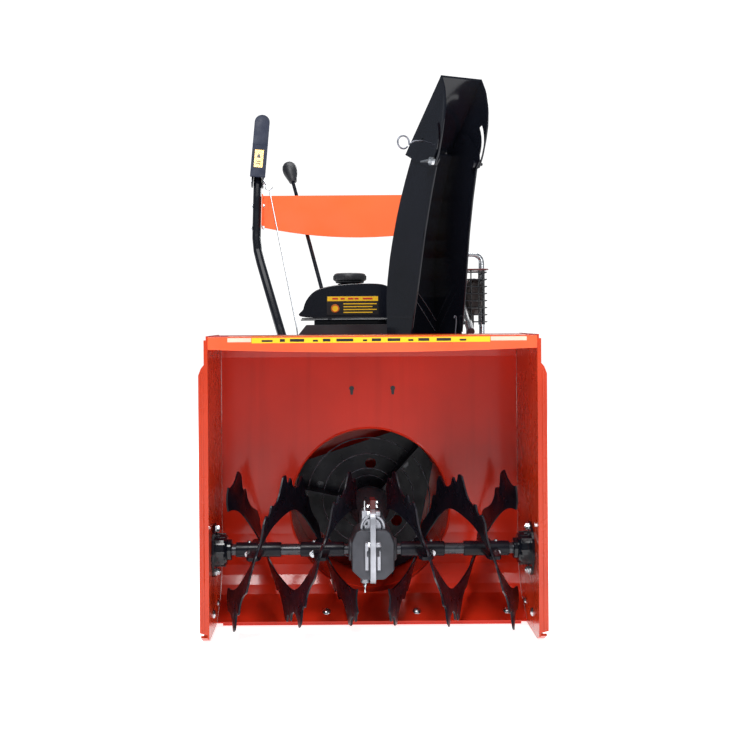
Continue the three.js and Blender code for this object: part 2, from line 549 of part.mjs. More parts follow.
// ---------------------------------------------------------------- engine
function buildEngine() {
  const deck = DECK_Z + GAP;
  const fins = Array.from({ length: 5 }, (_, i) => box(96 + 18 * i, 100 + 18 * i, 592, 728, 388, 518));
  const block = join(
    box(-85, 85, 575, 755, deck, 505), box(80, 186, 604, 716, 400, 506), box(180, 206, 612, 708, 412,
      496), ...fins,
    box(-80, -60, 600, 740, 500, 529), box(-80, 60, 720, 740, 500, 529));
  add("engine_block", cut(block, rod("y", 13, 560, 590, [0, CRANK_Z])), CAST_ALUMINIUM);
  const shroud = [[-105, deck], [105, deck], [105, 470], [70, 524], [-70, 524], [-105, 470]];
  const starter = turned("y", [[0, 795], [80, 795], [80, 818], [66, 834], [0, 834]], [0, 0, CRANK_Z], 28);
  add("recoil_starter", join(prismY(shroud, 755.5, 800), starter), BLACK_PAINT);
  add("starter_grip", join(rod("y", 4, 834.5, 846, [45, 462], 10), box(15, 75, 842, 858, 455, 469)),
    BLACK_PLASTIC);
  add("air_box", box(-146, -86, 590, 700, 425, 522), BLACK_PLASTIC);

  const tankSide = [[-127, 559], [-131, 575], [-120, 604], [-97, 621], [-50, 631], [20, 635], [52, 629],
    [66, 612],
    [70, 559]];
  const tank = join(prismY(tankSide, 552, 738), box(-139, 74, 546, 744, 554, 560), box(-110, 60, 570,
    730, 530, 556));
  const neck = rod("z", 24, 620, 637, [-31, 645]);
  add("fuel_tank", join(tank, neck), BLACK_PAINT);
  add("fuel_cap", turned("z", [[0, 637.5], [31, 637.5], [36.5, 641], [36.5, 654], [31, 660], [0, 660]],
    [-31, 645, 0], 24), BLACK_PLASTIC);

  const muffler = turned("y", [[0, 592], [16, 592], [21, 598], [21, 690], [16, 696], [0, 696]], [243, 0,
    0], 16)
    .scale(1, 1, 1.9).translate(0, 0, 604);
  const pipe = rod("x", 9, 206.4, 240, [640, 480], 12);
  const riser = rod("z", 9, 472, 580, [238, 640], 12);
  add("muffler", join(muffler, pipe, riser), STEEL);
  const bars = [];
  for (let i = 0; i < 7; i++) {
    const z = 552 + 15 * i;
    bars.push(box(216, 271, 578, 581, z, z + 3), box(268, 271, 578, 704, z, z + 3));
  }
  for (const x of [216, 232, 249, 268]) bars.push(box(x, x + 3, 579.5, 582.5, 544, 665));
  for (const y of [640, 701]) bars.push(box(266.5, 269.5, y, y + 3, 544, 665));
  add("muffler_guard", join(box(214, 273, 576, 706, 662, 665.5), ...bars), BLACK_PAINT);
  const hoop = [[206, 728, 440], [275, 728, 440], [275, 728, 704], [148, 728, 704], [148, 728, 522]];
  add("guard_hoop", tube(hoop, 6.5, 22, 30, 8), ZINC);

  const throttle = prismX([[-8, -8], [8, -8], [5, 44], [-5, 44]], -152, -148).translate(0, 620, 470);
  add("throttle_lever", throttle, BLACK_PLASTIC);
  add("choke_lever", prismX([[-8, -8], [8, -8], [5, 32], [-5, 32]], -152, -148).translate(0, 670, 470),
    BLACK_PLASTIC);
  add("oil_cap", join(rod("x", 12, -97, -85.4, [700, 360], 12), box(-105, -96, 690, 710, 357, 363)),
    BLACK_PLASTIC);
}

// ---------------------------------------------------------------- handlebars and controls
const HANDLE_ROUTE = [[164, 760, 190], [164, 838, 420], [198, 905, 522], [HANDLE_X, 1040, 744],
  [HANDLE_X, 1105, 900], [HANDLE_X, 1205, 1085]];
const GRIP_LEAN = Math.atan2(100, 185);
const CRANK_START = new THREE.Vector3(207, 350, 530);
const CRANK_END = new THREE.Vector3(200, 1190, 880);

function buildHandles() {
  const bar = tube(HANDLE_ROUTE, HANDLE_RADIUS, 40, 26, 10);
  const gripLength = 120;
  for (const [name, side] of SIDES) {
    add(`handle_${name}`, mirrored(bar, side), BLACK_PAINT);
    const grip = add(`grip_${name}`, turned("z", [
      [HANDLE_RADIUS + GAP, -gripLength], [16, -gripLength], [17, -gripLength / 2], [16, 1], [14, 5], [0, 5],
      [0, GAP], [HANDLE_RADIUS + GAP, GAP]], [0, 0, 0], 16), RUBBER);
    grip.position.set(side * HANDLE_X, 1205, 1085);
    grip.rotation.x = -GRIP_LEAN;
    const lever = add(`lever_${name}`, leverShape(), BLACK_PAINT);
    lever.position.set(side * HANDLE_X, 1116, 920);
    lever.rotation.x = THREE.MathUtils.degToRad(LEVER_REST) - GRIP_LEAN;
    const cable = [[side * 238, 1104, 905], [side * 153, 800, 519], [side * 149, 780, 450]];
    add(`cable_${name}`, tube(cable, 1.6, 12, 12, 8), STEEL);
  }
}

// A clutch lever: two cheeks beside the bar, and a wide web in front of the grip. Its pivot is the origin.
function leverShape() {
  const cheek = (x) => prismX([[-25, 8], [-16, -14], [12, -14], [12, 8], [-16, 60], [-25, 60]], x - 1.5,
    x + 1.5);
  const web = prismY([[-20, 6], [20, 6], [20, 160], ...arc(0, 160, 20, 0, 180, 8), [-20, 160]], -26, -23);
  return join(cheek(-14), cheek(14), web);
}

function buildDash() {
  const group = new THREE.Group();
  group.position.set(0, 1040, 744);
  group.rotation.x = -DASH_LEAN;
  machine.add(group);
  const half = HANDLE_X - HANDLE_RADIUS - 1.5;
  const top = 150;
  const lower = Array.from({ length: 15 }, (_, i) => {
    const x = -half + (2 * half * i) / 14;
    return [x, 27 + 31.5 * (x / half) ** 2];
  });
  const panel = prismY([...lower, [half, top], [-half, top]], -1.5, 1.5);
  const ear = (x) => box(x - 1.5, x + 1.5, -12, 12, 60, top);
  const crankHole = rod("y", 13, -30, 30, [200.5, 97], 16);
  add("dash_panel", cut(join(panel, ear(half - 1.5), ear(1.5 - half)), crankHole), ORANGE_PAINT, group);
}

function buildShift() {
  const hub = rod("y", 10, 872, 890, [-22, 342], 14);
  const stem = tube([[-22, 882, 342], [-179, 1146, 938]], 5, 0, 1, 10);
  add("shift_lever", join(stem, hub), BLACK_PAINT);
  const knob = turned("z", [[0, -32], [10, -30], [14, -18], [19.5, 2], [19, 16], [12, 26], [0, 29]], [0,
    0, 0], 16);
  const bore = rod("z", 5.6, -60, -8, [0, 0], 10);
  const mesh = add("shift_knob", cut(knob, bore), BLACK_PLASTIC);
  mesh.position.set(-182.5, 1152, 951.5);
  mesh.quaternion.setFromUnitVectors(
    new THREE.Vector3(0, 0, 1), new THREE.Vector3(-157, 264, 596).normalize());
}

function buildCrank() {
  const run = CRANK_END.clone().sub(CRANK_START).normalize();
  const across = new THREE.Vector3(1, 0, 0).cross(run).normalize().negate();
  const elbow = CRANK_END.clone().addScaledVector(across, 90);
  const tip = elbow.clone().addScaledVector(run, 95);
  const rodShape = tube([CRANK_START, CRANK_END, elbow, tip].map((p) => p.toArray()), 5, 16, 40, 8);
  const worm = rod("y", 8, 0, 44, [0, 0], 12);
  worm.applyQuaternion(new THREE.Quaternion().setFromUnitVectors(new THREE.Vector3(0, 1, 0), run));
  worm.translate(...CRANK_START.toArray());
  add("crank_rod", join(rodShape, worm), STEEL);
}

buildHousing();
buildDrum();
buildChute();
buildAugers();
buildGearbox();
buildImpeller();
buildDrive();
buildWheels();
buildEngine();
buildHandles();
buildDash();
buildShift();
buildCrank();

const bounds = new THREE.Box3().setFromObject(machine, true);
machine.position.set(-(bounds.min.x + bounds.max.x) / 2, -(bounds.min.y + bounds.max.y) / 2, -bounds.min.z);

export default machine;
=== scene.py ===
# Looks of the two stage snowblower: materials, fine pieces that stand for plain CAD nodes, fasteners,
# light and camera. Metres; the machine's mouth faces -Y.
from math import atan2, cos, pi, radians, sin

import bmesh
import bpy
from mathutils import Matrix, Vector


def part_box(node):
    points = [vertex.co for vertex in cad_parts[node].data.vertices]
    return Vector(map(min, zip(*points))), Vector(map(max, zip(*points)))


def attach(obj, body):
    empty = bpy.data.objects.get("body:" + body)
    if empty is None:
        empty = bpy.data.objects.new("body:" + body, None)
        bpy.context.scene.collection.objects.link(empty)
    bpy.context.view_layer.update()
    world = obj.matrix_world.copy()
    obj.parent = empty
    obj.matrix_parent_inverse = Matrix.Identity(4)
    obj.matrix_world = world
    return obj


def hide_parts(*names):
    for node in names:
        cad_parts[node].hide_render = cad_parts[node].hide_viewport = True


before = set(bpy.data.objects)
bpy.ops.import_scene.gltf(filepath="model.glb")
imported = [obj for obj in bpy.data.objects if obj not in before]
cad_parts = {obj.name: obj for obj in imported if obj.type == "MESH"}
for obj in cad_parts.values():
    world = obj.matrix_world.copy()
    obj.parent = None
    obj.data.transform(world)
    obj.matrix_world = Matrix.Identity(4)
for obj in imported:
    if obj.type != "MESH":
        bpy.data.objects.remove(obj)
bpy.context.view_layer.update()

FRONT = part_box("side_panel_left")[0][1]      # plane of the housing's mouth
SCENE = bpy.context.scene
move = Matrix.Translation


def at(x, depth, z):
    """A point from millimetres: x, depth behind the mouth's plane, height."""
    return Vector((x / 1000, FRONT + depth / 1000, z / 1000))


# ---- camera, light, floor
EYE = at(-58, -2000, 555)
LENS = 56.5
ROLL = 0.4
LENS_SHIFT = (0.0493, -0.0733)   # keeps the machine's uprights parallel


def add_camera():
    data = bpy.data.cameras.new("camera")
    data.lens = LENS
    data.sensor_width = 36
    camera = bpy.data.objects.new("camera", data)
    SCENE.collection.objects.link(camera)
    data.shift_x, data.shift_y = LENS_SHIFT
    turn = Matrix.Rotation(radians(90), 4, "X") @ Matrix.Rotation(radians(-ROLL), 4, "Z")
    camera.matrix_world = move(EYE) @ turn
    SCENE.camera = camera


def add_area_light(name, place, aim, size, power, tint=(1, 1, 1)):
    data = bpy.data.lights.new(name, "AREA")
    data.shape = "RECTANGLE"
    data.size, data.size_y = size
    data.energy = power
    data.color = tint
    light = bpy.data.objects.new(name, data)
    light.location = place
    light.rotation_euler = (Vector(aim) - Vector(place)).to_track_quat("-Z", "Y").to_euler()
    SCENE.collection.objects.link(light)


def add_stage():
    world = bpy.data.worlds.new("studio")
    SCENE.world = world
    world.use_nodes = True
    nodes, links = world.node_tree.nodes, world.node_tree.links
    seen = nodes["Background"]
    seen.inputs["Color"].default_value = (1, 1, 1, 1)
    seen.inputs["Strength"].default_value = 1.1
    ambient = nodes.new("ShaderNodeBackground")
    ambient.inputs["Color"].default_value = (0.86, 0.92, 1.0, 1)
    ambient.inputs["Strength"].default_value = 0.24
    path = nodes.new("ShaderNodeLightPath")
    mix = nodes.new("ShaderNodeMixShader")
    links.new(path.outputs["Is Camera Ray"], mix.inputs["Fac"])
    links.new(ambient.outputs["Background"], mix.inputs[1])
    links.new(seen.outputs["Background"], mix.inputs[2])
    links.new(mix.outputs["Shader"], nodes["World Output"].inputs["Surface"])
    add_area_light("key", (-0.5, -2.4, 2.7), (0, -0.5, 0.3), (0.9, 1.1), 62)
    add_area_light("fill", (1.7, -2.6, 1.1), (0, -0.4, 0.3), (0.5, 1.2), 17)
    add_area_light("top", (0.0, 0.1, 3.0), (0, 0, 0.4), (2.4, 2.0), 60)
    add_area_light("back", (0.8, 3.2, 2.2), (0, 0, 0.5), (2.0, 1.6), 42)
    bm = bmesh.new()
    bmesh.ops.create_grid(bm, x_segments=2, y_segments=2, size=14)
    mesh = bpy.data.meshes.new("floor")
    bm.to_mesh(mesh)
    floor = bpy.data.objects.new("floor", mesh)
    floor.location.z = -0.001
    SCENE.collection.objects.link(floor)
    material = bpy.data.materials.new("floor")
    material.use_nodes = True
    shader = material.node_tree.nodes["Principled BSDF"]
    shader.inputs["Base Color"].default_value = (0.9, 0.9, 0.9, 1)
    shader.inputs["Roughness"].default_value = 0.9
    shader.inputs["Specular IOR Level"].default_value = 0.0
    shader.inputs["Emission Color"].default_value = (1, 1, 1, 1)
    shader.inputs["Emission Strength"].default_value = 0.86
    mesh.materials.append(material)
    SCENE.view_settings.view_transform = "Standard"


# ---- materials
def surface(name, color, rough, metal=0.0, coat=0.0, vary=0.12, spots=9.0, grain=600.0, bump=0.05,
            depth=0.0003, dust_and_sheen=0.0, dust_and_sheen_color=(0.35, 0.32, 0.30), reflection_streaks=0.0, spec=0.5):
    """A painted, cast, moulded or machined surface with random blotches, a blend toward a second colour,
    darker vertical streak lines and fine grain. The blend is a dirt film on most materials and a painted
    reflection sheen on the red paints; the streak lines are painted reflections.
    """
    material = bpy.data.materials.new(name)
    material.use_nodes = True
    nodes, links = material.node_tree.nodes, material.node_tree.links
    shader = nodes["Principled BSDF"]
    shader.inputs["Metallic"].default_value = metal
    shader.inputs["Coat Weight"].default_value = coat
    shader.inputs["Coat Roughness"].default_value = 0.06
    shader.inputs["Specular IOR Level"].default_value = spec
    coords = nodes.new("ShaderNodeTexCoord")

    def noise(scale, detail=4.0, stretch=(1, 1, 1)):
        mapping = nodes.new("ShaderNodeMapping")
        mapping.inputs["Scale"].default_value = stretch
        links.new(coords.outputs["Object"], mapping.inputs["Vector"])
        texture = nodes.new("ShaderNodeTexNoise")
        texture.inputs["Scale"].default_value = scale
        texture.inputs["Detail"].default_value = detail
        links.new(mapping.outputs["Vector"], texture.inputs["Vector"])
        return texture.outputs["Fac"]

    def remap(value, low, high, start=0.3, end=0.7):
        node = nodes.new("ShaderNodeMapRange")
        node.inputs["From Min"].default_value = start
        node.inputs["From Max"].default_value = end
        node.inputs["To Min"].default_value = low
        node.inputs["To Max"].default_value = high
        links.new(value, node.inputs["Value"])
        return node.outputs["Result"]

    def blend(factor, first, second):
        node = nodes.new("ShaderNodeMix")
        node.data_type = "RGBA"
        links.new(factor, node.inputs["Factor"])
        for value, socket in ((first, node.inputs["A"]), (second, node.inputs["B"])):
            if isinstance(value, tuple):
                socket.default_value = (*value, 1)
            else:
                links.new(value, socket)
        return node.outputs["Result"]

    dark = tuple(c * (1 - vary) for c in color)
    light = tuple(min(1.0, c * (1 + vary)) for c in color)
    tone = blend(remap(noise(spots), 0, 1), dark, light)
    # painted reflection: darker vertical streak lines stand in for streaky reflections on glossy paint
    if reflection_streaks:
        upright_reflection_streaks = noise(8, 3, (6.0, 6.0, 0.25))
        tone = blend(remap(upright_reflection_streaks, 0, reflection_streaks, 0.5, 0.75), tone, tuple(c * 0.45 for c in color))
    # blend toward the second colour: a dirt film on most materials, a painted reflection sheen on the red
    # paints
    if dust_and_sheen:
        tone = blend(remap(noise(3.5, 8), 0, dust_and_sheen, 0.45, 0.75), tone, dust_and_sheen_color)
    links.new(tone, shader.inputs["Base Color"])
    links.new(remap(noise(spots * 2.3, 6), rough * 0.7, min(1.0, rough * 1.3), 0.25, 0.75),
              shader.inputs["Roughness"])
    fine = nodes.new("ShaderNodeBump")
    fine.inputs["Strength"].default_value = bump
    fine.inputs["Distance"].default_value = depth
    links.new(noise(grain, 2), fine.inputs["Height"])
    links.new(fine.outputs["Normal"], shader.inputs["Normal"])
    return material


def make_materials():
    return {
        # red paint: its pale red blend colour is a painted reflection sheen, and its darker vertical streak
        # lines are painted reflections
        "red": surface("red_paint", (0.56, 0.024, 0.008), 0.17, coat=0.10, spec=0.24, spots=5, grain=240,
            bump=0.07, depth=0.0004, dust_and_sheen=0.05, dust_and_sheen_color=(0.40, 0.06, 0.04), reflection_streaks=0.22),
        # the pale orange blend colour here is a painted reflection sheen, not dirt
        "flange": surface("flange_paint", (0.50, 0.032, 0.005), 0.26, coat=0.15, spec=0.35, vary=0.08,
            spots=7, grain=300, bump=0.08, dust_and_sheen=0.08, dust_and_sheen_color=(0.75, 0.20, 0.10)),
        "orange": surface("dash_paint", (0.86, 0.115, 0.022), 0.50, spec=0.2, vary=0.04, spots=6, grain=500,
            bump=0.06),
        "black": surface("black_paint", (0.005, 0.006, 0.010), 0.14, coat=0.16, spec=0.30, vary=0.25,
            spots=8, grain=320, bump=0.09, depth=0.0004, dust_and_sheen=0.04, dust_and_sheen_color=(0.03, 0.034, 0.045)),
        "worn_black": surface("worn_black", (0.005, 0.005, 0.009), 0.32, coat=0.03, spec=0.19, vary=0.4,
            spots=30, grain=420, dust_and_sheen=0.12, dust_and_sheen_color=(0.016, 0.015, 0.018)),
        "cast": surface("cast_aluminium", (0.40, 0.41, 0.45), 0.40, metal=0.85, vary=0.18, spots=40,
            grain=900, bump=0.5, depth=0.0006, dust_and_sheen=0.25, dust_and_sheen_color=(0.22, 0.21, 0.20)),
        # cast aluminium drawn much darker than cast_aluminium: painted shade on the gearbox's worm wheel
        # housings
        "cast_in_painted_shade": surface("cast_in_painted_shade", (0.055, 0.057, 0.068), 0.5, metal=0.4, vary=0.2, spots=35,
            grain=800, bump=0.4, depth=0.0005, dust_and_sheen=0.2, dust_and_sheen_color=(0.08, 0.075, 0.07)),
        # light grey: a painted highlight on the black impeller's pressed rings and the black chute's creases;
        # the chute's latch rod is drawn in it too
        "edge": surface("painted_highlight_grey", (0.16, 0.17, 0.20), 0.3, metal=0.4, vary=0.3, spots=40, grain=800,
            bump=0.1),
        "grey": surface("grey_paint", (0.022, 0.023, 0.029), 0.35, coat=0.15, vary=0.15, spots=20,
            grain=500, bump=0.15),
        "steel": surface("zinc_steel", (0.62, 0.64, 0.67), 0.25, metal=1.0, vary=0.10, spots=60, grain=1200,
            bump=0.12, depth=0.0002, dust_and_sheen=0.12, dust_and_sheen_color=(0.30, 0.28, 0.25)),
        "dull_steel": surface("dull_steel", (0.22, 0.23, 0.27), 0.35, metal=0.8, vary=0.2, spots=60,
            grain=900, bump=0.1),
        "dark_steel": surface("dark_steel", (0.030, 0.032, 0.040), 0.28, metal=0.4, coat=0.3, vary=0.25,
            spots=30, grain=900, bump=0.12, dust_and_sheen=0.15, dust_and_sheen_color=(0.05, 0.045, 0.045)),
        "hot_steel": surface("heat_tinted_steel", (0.038, 0.033, 0.033), 0.4, metal=0.6, vary=0.3, spots=14,
            grain=800, bump=0.2, dust_and_sheen=0.2, dust_and_sheen_color=(0.10, 0.055, 0.035)),
        "plastic": surface("black_plastic", (0.016, 0.017, 0.021), 0.42, vary=0.2, spots=12, grain=1500,
            bump=0.35, dust_and_sheen=0.08, dust_and_sheen_color=(0.06, 0.06, 0.065)),
        "rubber": surface("rubber", (0.012, 0.012, 0.013), 0.7, vary=0.3, spots=16, grain=900, bump=0.4,
            depth=0.0004, dust_and_sheen=0.25, dust_and_sheen_color=(0.06, 0.055, 0.05)),
        "pad": surface("lever_moulding", (0.016, 0.022, 0.046), 0.50, vary=0.2, spots=14, grain=1200,
            bump=0.15, dust_and_sheen=0.06, dust_and_sheen_color=(0.05, 0.06, 0.09), spec=0.22),
        # the rolled lip is the housing's red paint drawn brighter orange as a painted highlight, with a pale
        # orange painted reflection sheen
        "lip": surface("lip_painted_highlight", (0.86, 0.09, 0.022), 0.34, coat=0.15, vary=0.10, spots=6, grain=300,
            bump=0.06, dust_and_sheen=0.10, dust_and_sheen_color=(0.95, 0.42, 0.18)),
        "pale": surface("pale_label", (0.80, 0.55, 0.42), 0.35, vary=0.1, spots=20, grain=900, bump=0.03),
        "sign_red": surface("label_red", (0.62, 0.03, 0.02), 0.35, vary=0.08, spots=20, grain=900,
            bump=0.03),
        "yellow": surface("yellow_label", (0.95, 0.55, 0.012), 0.3, coat=0.3, vary=0.05, spots=10,
            grain=700, bump=0.03),
        # near black for print, and painted shade in the housing's keyhole slots and the starter's vent slots
        "ink_and_hole_shade": surface("label_ink_and_hole_shade", (0.009, 0.009, 0.010), 0.35, vary=0.2, spots=40, grain=900, bump=0.03),
        # dark red: painted shade on the red gearbox top block, and a painted red reflection on the black
        # muffler guard plate
        "red_shade_and_reflection": surface("painted_red_shade_and_reflection", (0.10, 0.012, 0.012), 0.4, vary=0.2, spots=30, grain=700,
            bump=0.2),
    }


# ---- mesh tools
def publish(name, mesh, material, body, slot=None, stands_for=(), bevel=0.0):
    obj = bpy.data.objects.new(name, mesh)
    SCENE.collection.objects.link(obj)
    mesh.materials.clear()
    mesh.materials.append(material)
    soften(obj, bevel=bevel)
    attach(obj, body)
    if stands_for:
        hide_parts(*stands_for)
    return obj


def soften(obj, angle=35, bevel=0.0):
    for polygon in obj.data.polygons:
        polygon.use_smooth = True
    obj.data.set_sharp_from_angle(angle=radians(angle))
    if bevel:
        edge = obj.modifiers.new("rounded edges", "BEVEL")
        edge.width = bevel
        edge.segments = 2
        edge.limit_method = "ANGLE"
        edge.angle_limit = radians(angle)
        edge.harden_normals = True


def from_bmesh(name, bm):
    bmesh.ops.recalc_face_normals(bm, faces=bm.faces)
    mesh = bpy.data.meshes.new(name)
    bm.to_mesh(mesh)
    bm.free()
    return mesh


def axis_frame(direction):
    """A rotation that takes +Z to direction."""
    return Vector(direction).normalized().to_track_quat("Z", "Y").to_matrix().to_4x4()


def add_revolved(bm, profile, centre, direction, sides=32, closed=False):
    """Adds a turned shape. profile is [radius, distance along the direction]."""
    turn = move(centre) @ axis_frame(direction)
    rings = []
    for radius, along in profile:
        if radius < 1e-7:
            rings.append([bm.verts.new(turn @ Vector((0, 0, along)))])
            continue
        rings.append([bm.verts.new(turn @ Vector((radius * cos(2 * pi * k / sides),
                                                  radius * sin(2 * pi * k / sides), along)))
                      for k in range(sides)])
    pairs = list(zip(rings, rings[1:]))
    if closed:
        pairs.append((rings[-1], rings[0]))
    for low, high in pairs:
        for k in range(sides):
            a, b = low[k % len(low)], low[(k + 1) % len(low)]
            c, d = high[(k + 1) % len(high)], high[k % len(high)]
            corners = list(dict.fromkeys((a, b, c, d)))
            if len(corners) > 2:
                bm.faces.new(corners)


def add_box(bm, low, high, turn=Matrix.Identity(4)):
    corners = [turn @ Vector((x, y, z)) for x in (low[0], high[0]) for y in (low[1],
                                                                             high[1]) for z in (low[2],
                                                                                                high[2])]
    v = [bm.verts.new(c) for c in corners]
    for face in ((0, 1, 3, 2), (4, 6, 7, 5), (0, 4, 5, 1), (2, 3, 7, 6), (0, 2, 6, 4), (1, 5, 7, 3)):
        bm.faces.new([v[i] for i in face])


def add_prism(bm, outline, depth, turn):
    """An outline of (x, y) points, made depth thick along +z, then placed by turn."""
    low = [bm.verts.new(turn @ Vector((x, y, 0))) for x, y in outline]
    high = [bm.verts.new(turn @ Vector((x, y, depth))) for x, y in outline]
    bm.faces.new(low)
    bm.faces.new(high[::-1])
    for i in range(len(low)):
        j = (i + 1) % len(low)
        bm.faces.new((low[i], high[i], high[j], low[j]))


def rounded_route(points, bend, per_bend=8):
    """Points along straight runs whose corners are rounded."""
    corners = [Vector(p) for p in points]
    route = [corners[0]]
    for before, corner, after in zip(corners, corners[1:], corners[2:]):
        enter = corner + (before - corner).normalized() * bend
        leave = corner + (after - corner).normalized() * bend
        for i in range(per_bend + 1):
            t = i / per_bend
            route.append((1 - t) ** 2 * enter + 2 * t * (1 - t) * corner + t ** 2 * leave)
    return route + [corners[-1]]


def add_tube(bm, route, radius, sides=20):
    """A round bar along the route; radius is a number or one number for each point."""
    side = None
    rings = []
    for i, point in enumerate(route):
        ahead = (route[min(i + 1, len(route) - 1)] - route[max(i - 1, 0)]).normalized()
        if side is None:
            side = ahead.orthogonal().normalized()
        side = (side - ahead * side.dot(ahead)).normalized()
        up = ahead.cross(side)
        r = radius[i] if isinstance(radius, (list, tuple)) else radius
        rings.append([bm.verts.new(point + r * (cos(2 * pi * k / sides) * side
                                                + sin(2 * pi * k / sides) * up)) for k in range(sides)])
    for low, high in zip(rings, rings[1:]):
        for k in range(sides):
            j = (k + 1) % sides
            bm.faces.new((low[k], low[j], high[j], high[k]))
    bm.faces.new(rings[0][::-1])
    bm.faces.new(rings[-1])


def add_bolt(bm, spot, out, size=0.006, kind="hex"):
    """A bolt head on a washer. size is the thread radius."""
    turn = move(spot) @ axis_frame(out)
    if kind == "carriage":
        add_revolved(bm, [(0, size * 1.1), (size * 1.0, size * 0.95), (size * 1.7, size * 0.5),
                          (size * 2.0, 0.0)],
                     spot, out, 20)
        return
    washer = [(0, size * 0.3), (size * 2.2, size * 0.3), (size * 2.3, size * 0.15), (size * 2.3, 0)]
    add_revolved(bm, washer, spot, out, 20)
    head = [(size * 1.65 * cos(pi * k / 3), size * 1.65 * sin(pi * k / 3)) for k in range(6)]
    add_prism(bm, head, size * 1.1, turn @ move((0, 0, size * 0.3)))
    add_revolved(bm, [(0, size * 1.75), (size * 0.85, size * 1.7), (size * 0.95, size * 1.3)], spot, out, 12)


# ---- CAD nodes that keep their shape
def dress_nodes(mats):
    plan = {
        "red": ("housing_wrap", "impeller_drum", "scraper_bar"),
        "flange": ("side_panel_left", "side_panel_right", "skid_shoe_left", "skid_shoe_right"),
        "black": ("chute", "deflector", "chute_base_ring", "drive_box", "bottom_cover", "recoil_starter",
                  "auger_bearing_left", "auger_bearing_right", "shift_lever", "handle_left", "handle_right"),
        "worn_black": ("impeller",),
        # gearbox halves: cast aluminium darkened as painted shade
        "cast_in_painted_shade": ("gearbox_left", "gearbox_right"),
        "cast": ("engine_block", "drive_disc"),
        "dark_steel": ("auger_shaft", "crank_rod"),
        "steel": ("impeller_shaft", "impeller_pulley", "engine_pulley", "idler_arm", "axle",
                  "deflector_wing_nut", "cable_left", "cable_right"),
        "plastic": ("belt_cover", "air_box", "starter_grip", "throttle_lever", "choke_lever", "oil_cap"),
        "rubber": ("auger_belt", "drive_belt", "friction_wheel"),
        "orange": ("dash_panel", "rim_left", "rim_right"),
        "hot_steel": ("muffler",),
    }
    for key, nodes in plan.items():
        for node in nodes:
            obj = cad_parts[node]
            if not obj.material_slots:
                obj.data.materials.append(mats[key])
            for slot in obj.material_slots:
                slot.material = mats[key]
            soften(obj, 33, 0.0005)


# ---- pieces: millimetres, y = depth behind the mouth
MACHINE = move(at(0, 0, 0)) @ Matrix.Scale(0.001, 4)


def piece(name, build, key, body="frame", slot=None, place=Matrix.Identity(4), **options):
    """One visual piece. build draws it in millimetres in its own frame; place puts it in the machine's."""
    bm = bmesh.new()
    build(bm)
    mesh = from_bmesh(name, bm)
    mesh.transform(MACHINE @ place)
    if place.determinant() < 0:
        mesh.flip_normals()
    return publish(name, mesh, MATS[key], body, slot, **options)


def mm_box(node):
    """A CAD node's lowest and highest corners in millimetres, y being the depth behind the mouth."""
    low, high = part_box(node)
    origin = at(0, 0, 0)
    return tuple((Vector(corner) - origin) * 1000 for corner in (low, high))


def middle(node):
    low, high = mm_box(node)
    return (low + high) / 2


def ring_profile(radius, thick, steps=8):
    """A closed round section for a torus of that radius."""
    turns = [2 * pi * k / steps for k in range(steps)]
    return [(radius + thick * cos(a), thick * sin(a)) for a in turns]


def smooth_outline(points, per_span=5):
    """A closed Catmull-Rom curve through the points."""
    count = len(points)
    curve = []
    for i in range(count):
        p0, p1, p2, p3 = (Vector(points[(i + k - 1) % count]) for k in range(4))
        for j in range(per_span):
            t = j / per_span
            curve.append(tuple(0.5 * ((2 * p1) + (p2 - p0) * t + (2 * p0 - 5 * p1 + 4 * p2 - p3) * t ** 2
                                      + (3 * p1 - p0 - 3 * p2 + p3) * t ** 3)))
    return curve


# UPRIGHT takes an (x, z) outline to the xz plane, its depth along -y. SIDEWAYS takes (y, z) to the yz plane.
UPRIGHT = Matrix.Rotation(radians(90), 4, "X")
SIDEWAYS = Matrix(((0, 0, 1, 0), (1, 0, 0, 0), (0, 1, 0, 0), (0, 0, 0, 1)))


# ---- augers
AUGER_AXIS = middle("auger_shaft")
FLIGHT_INNER, FLIGHT_ROOT, FLIGHT_TIP = 67.0, 108.0, 142.0
FLIGHT_LEAD, FLIGHT_SWEEP, FLIGHT_START = 215.0, 2 * pi * 1.06, 255.0


def tooth_reach(phase, size):
    """How far the edge stands out at that part of a tooth's pitch.

    A curved rise, a flat tip, a steep back, then a small second tooth.
    """
    shape = ((0.0, 0.06), (0.10, 0.0), (0.24, 0.16), (0.36, 0.50), (0.46, size), (0.60, size * 0.97),
             (0.66, 0.34), (0.76, 0.26), (0.83, 0.52), (0.88, 0.50), (0.93, 0.16), (1.0, 0.06))
    for (start, low), (end, high) in zip(shape, shape[1:]):
        if phase <= end:
            return low + (high - low) * (phase - start) / (end - start)
    return shape[-1][1]


def add_flight(bm, start):
    teeth, per_tooth = 8, 28
    steps = teeth * per_tooth
    rows = []
    for i in range(steps + 1):
        angle = FLIGHT_SWEEP * i / steps
        x = FLIGHT_START - FLIGHT_LEAD * angle / (2 * pi)
        phase = (i % per_tooth) / per_tooth
        size = 1.0 if (i // per_tooth) % 2 == 0 else 0.84
        outer = FLIGHT_ROOT + (FLIGHT_TIP - FLIGHT_ROOT) * tooth_reach(phase, size)
        inner = FLIGHT_INNER + 3.0 * sin(angle * 4)
        loop = []
        for share, cup in ((0, 0), (0.35, 2.2), (0.7, 1.6), (1, -0.5)):
            loop.append((inner + (outer - inner) * share, cup + 1.6))
        loop += [(radius, cup - 3.2) for radius, cup in reversed(loop)]
        rows.append([bm.verts.new((x + offset, -sin(angle + start) * radius, -cos(angle + start) * radius))
                     for radius, offset in loop])
    size = len(rows[0])
    for near, far in zip(rows, rows[1:]):
        for k in range(size):
            j = (k + 1) % size
            bm.faces.new((near[k], near[j], far[j], far[k]))
    bm.faces.new(rows[0][::-1])
    bm.faces.new(rows[-1])


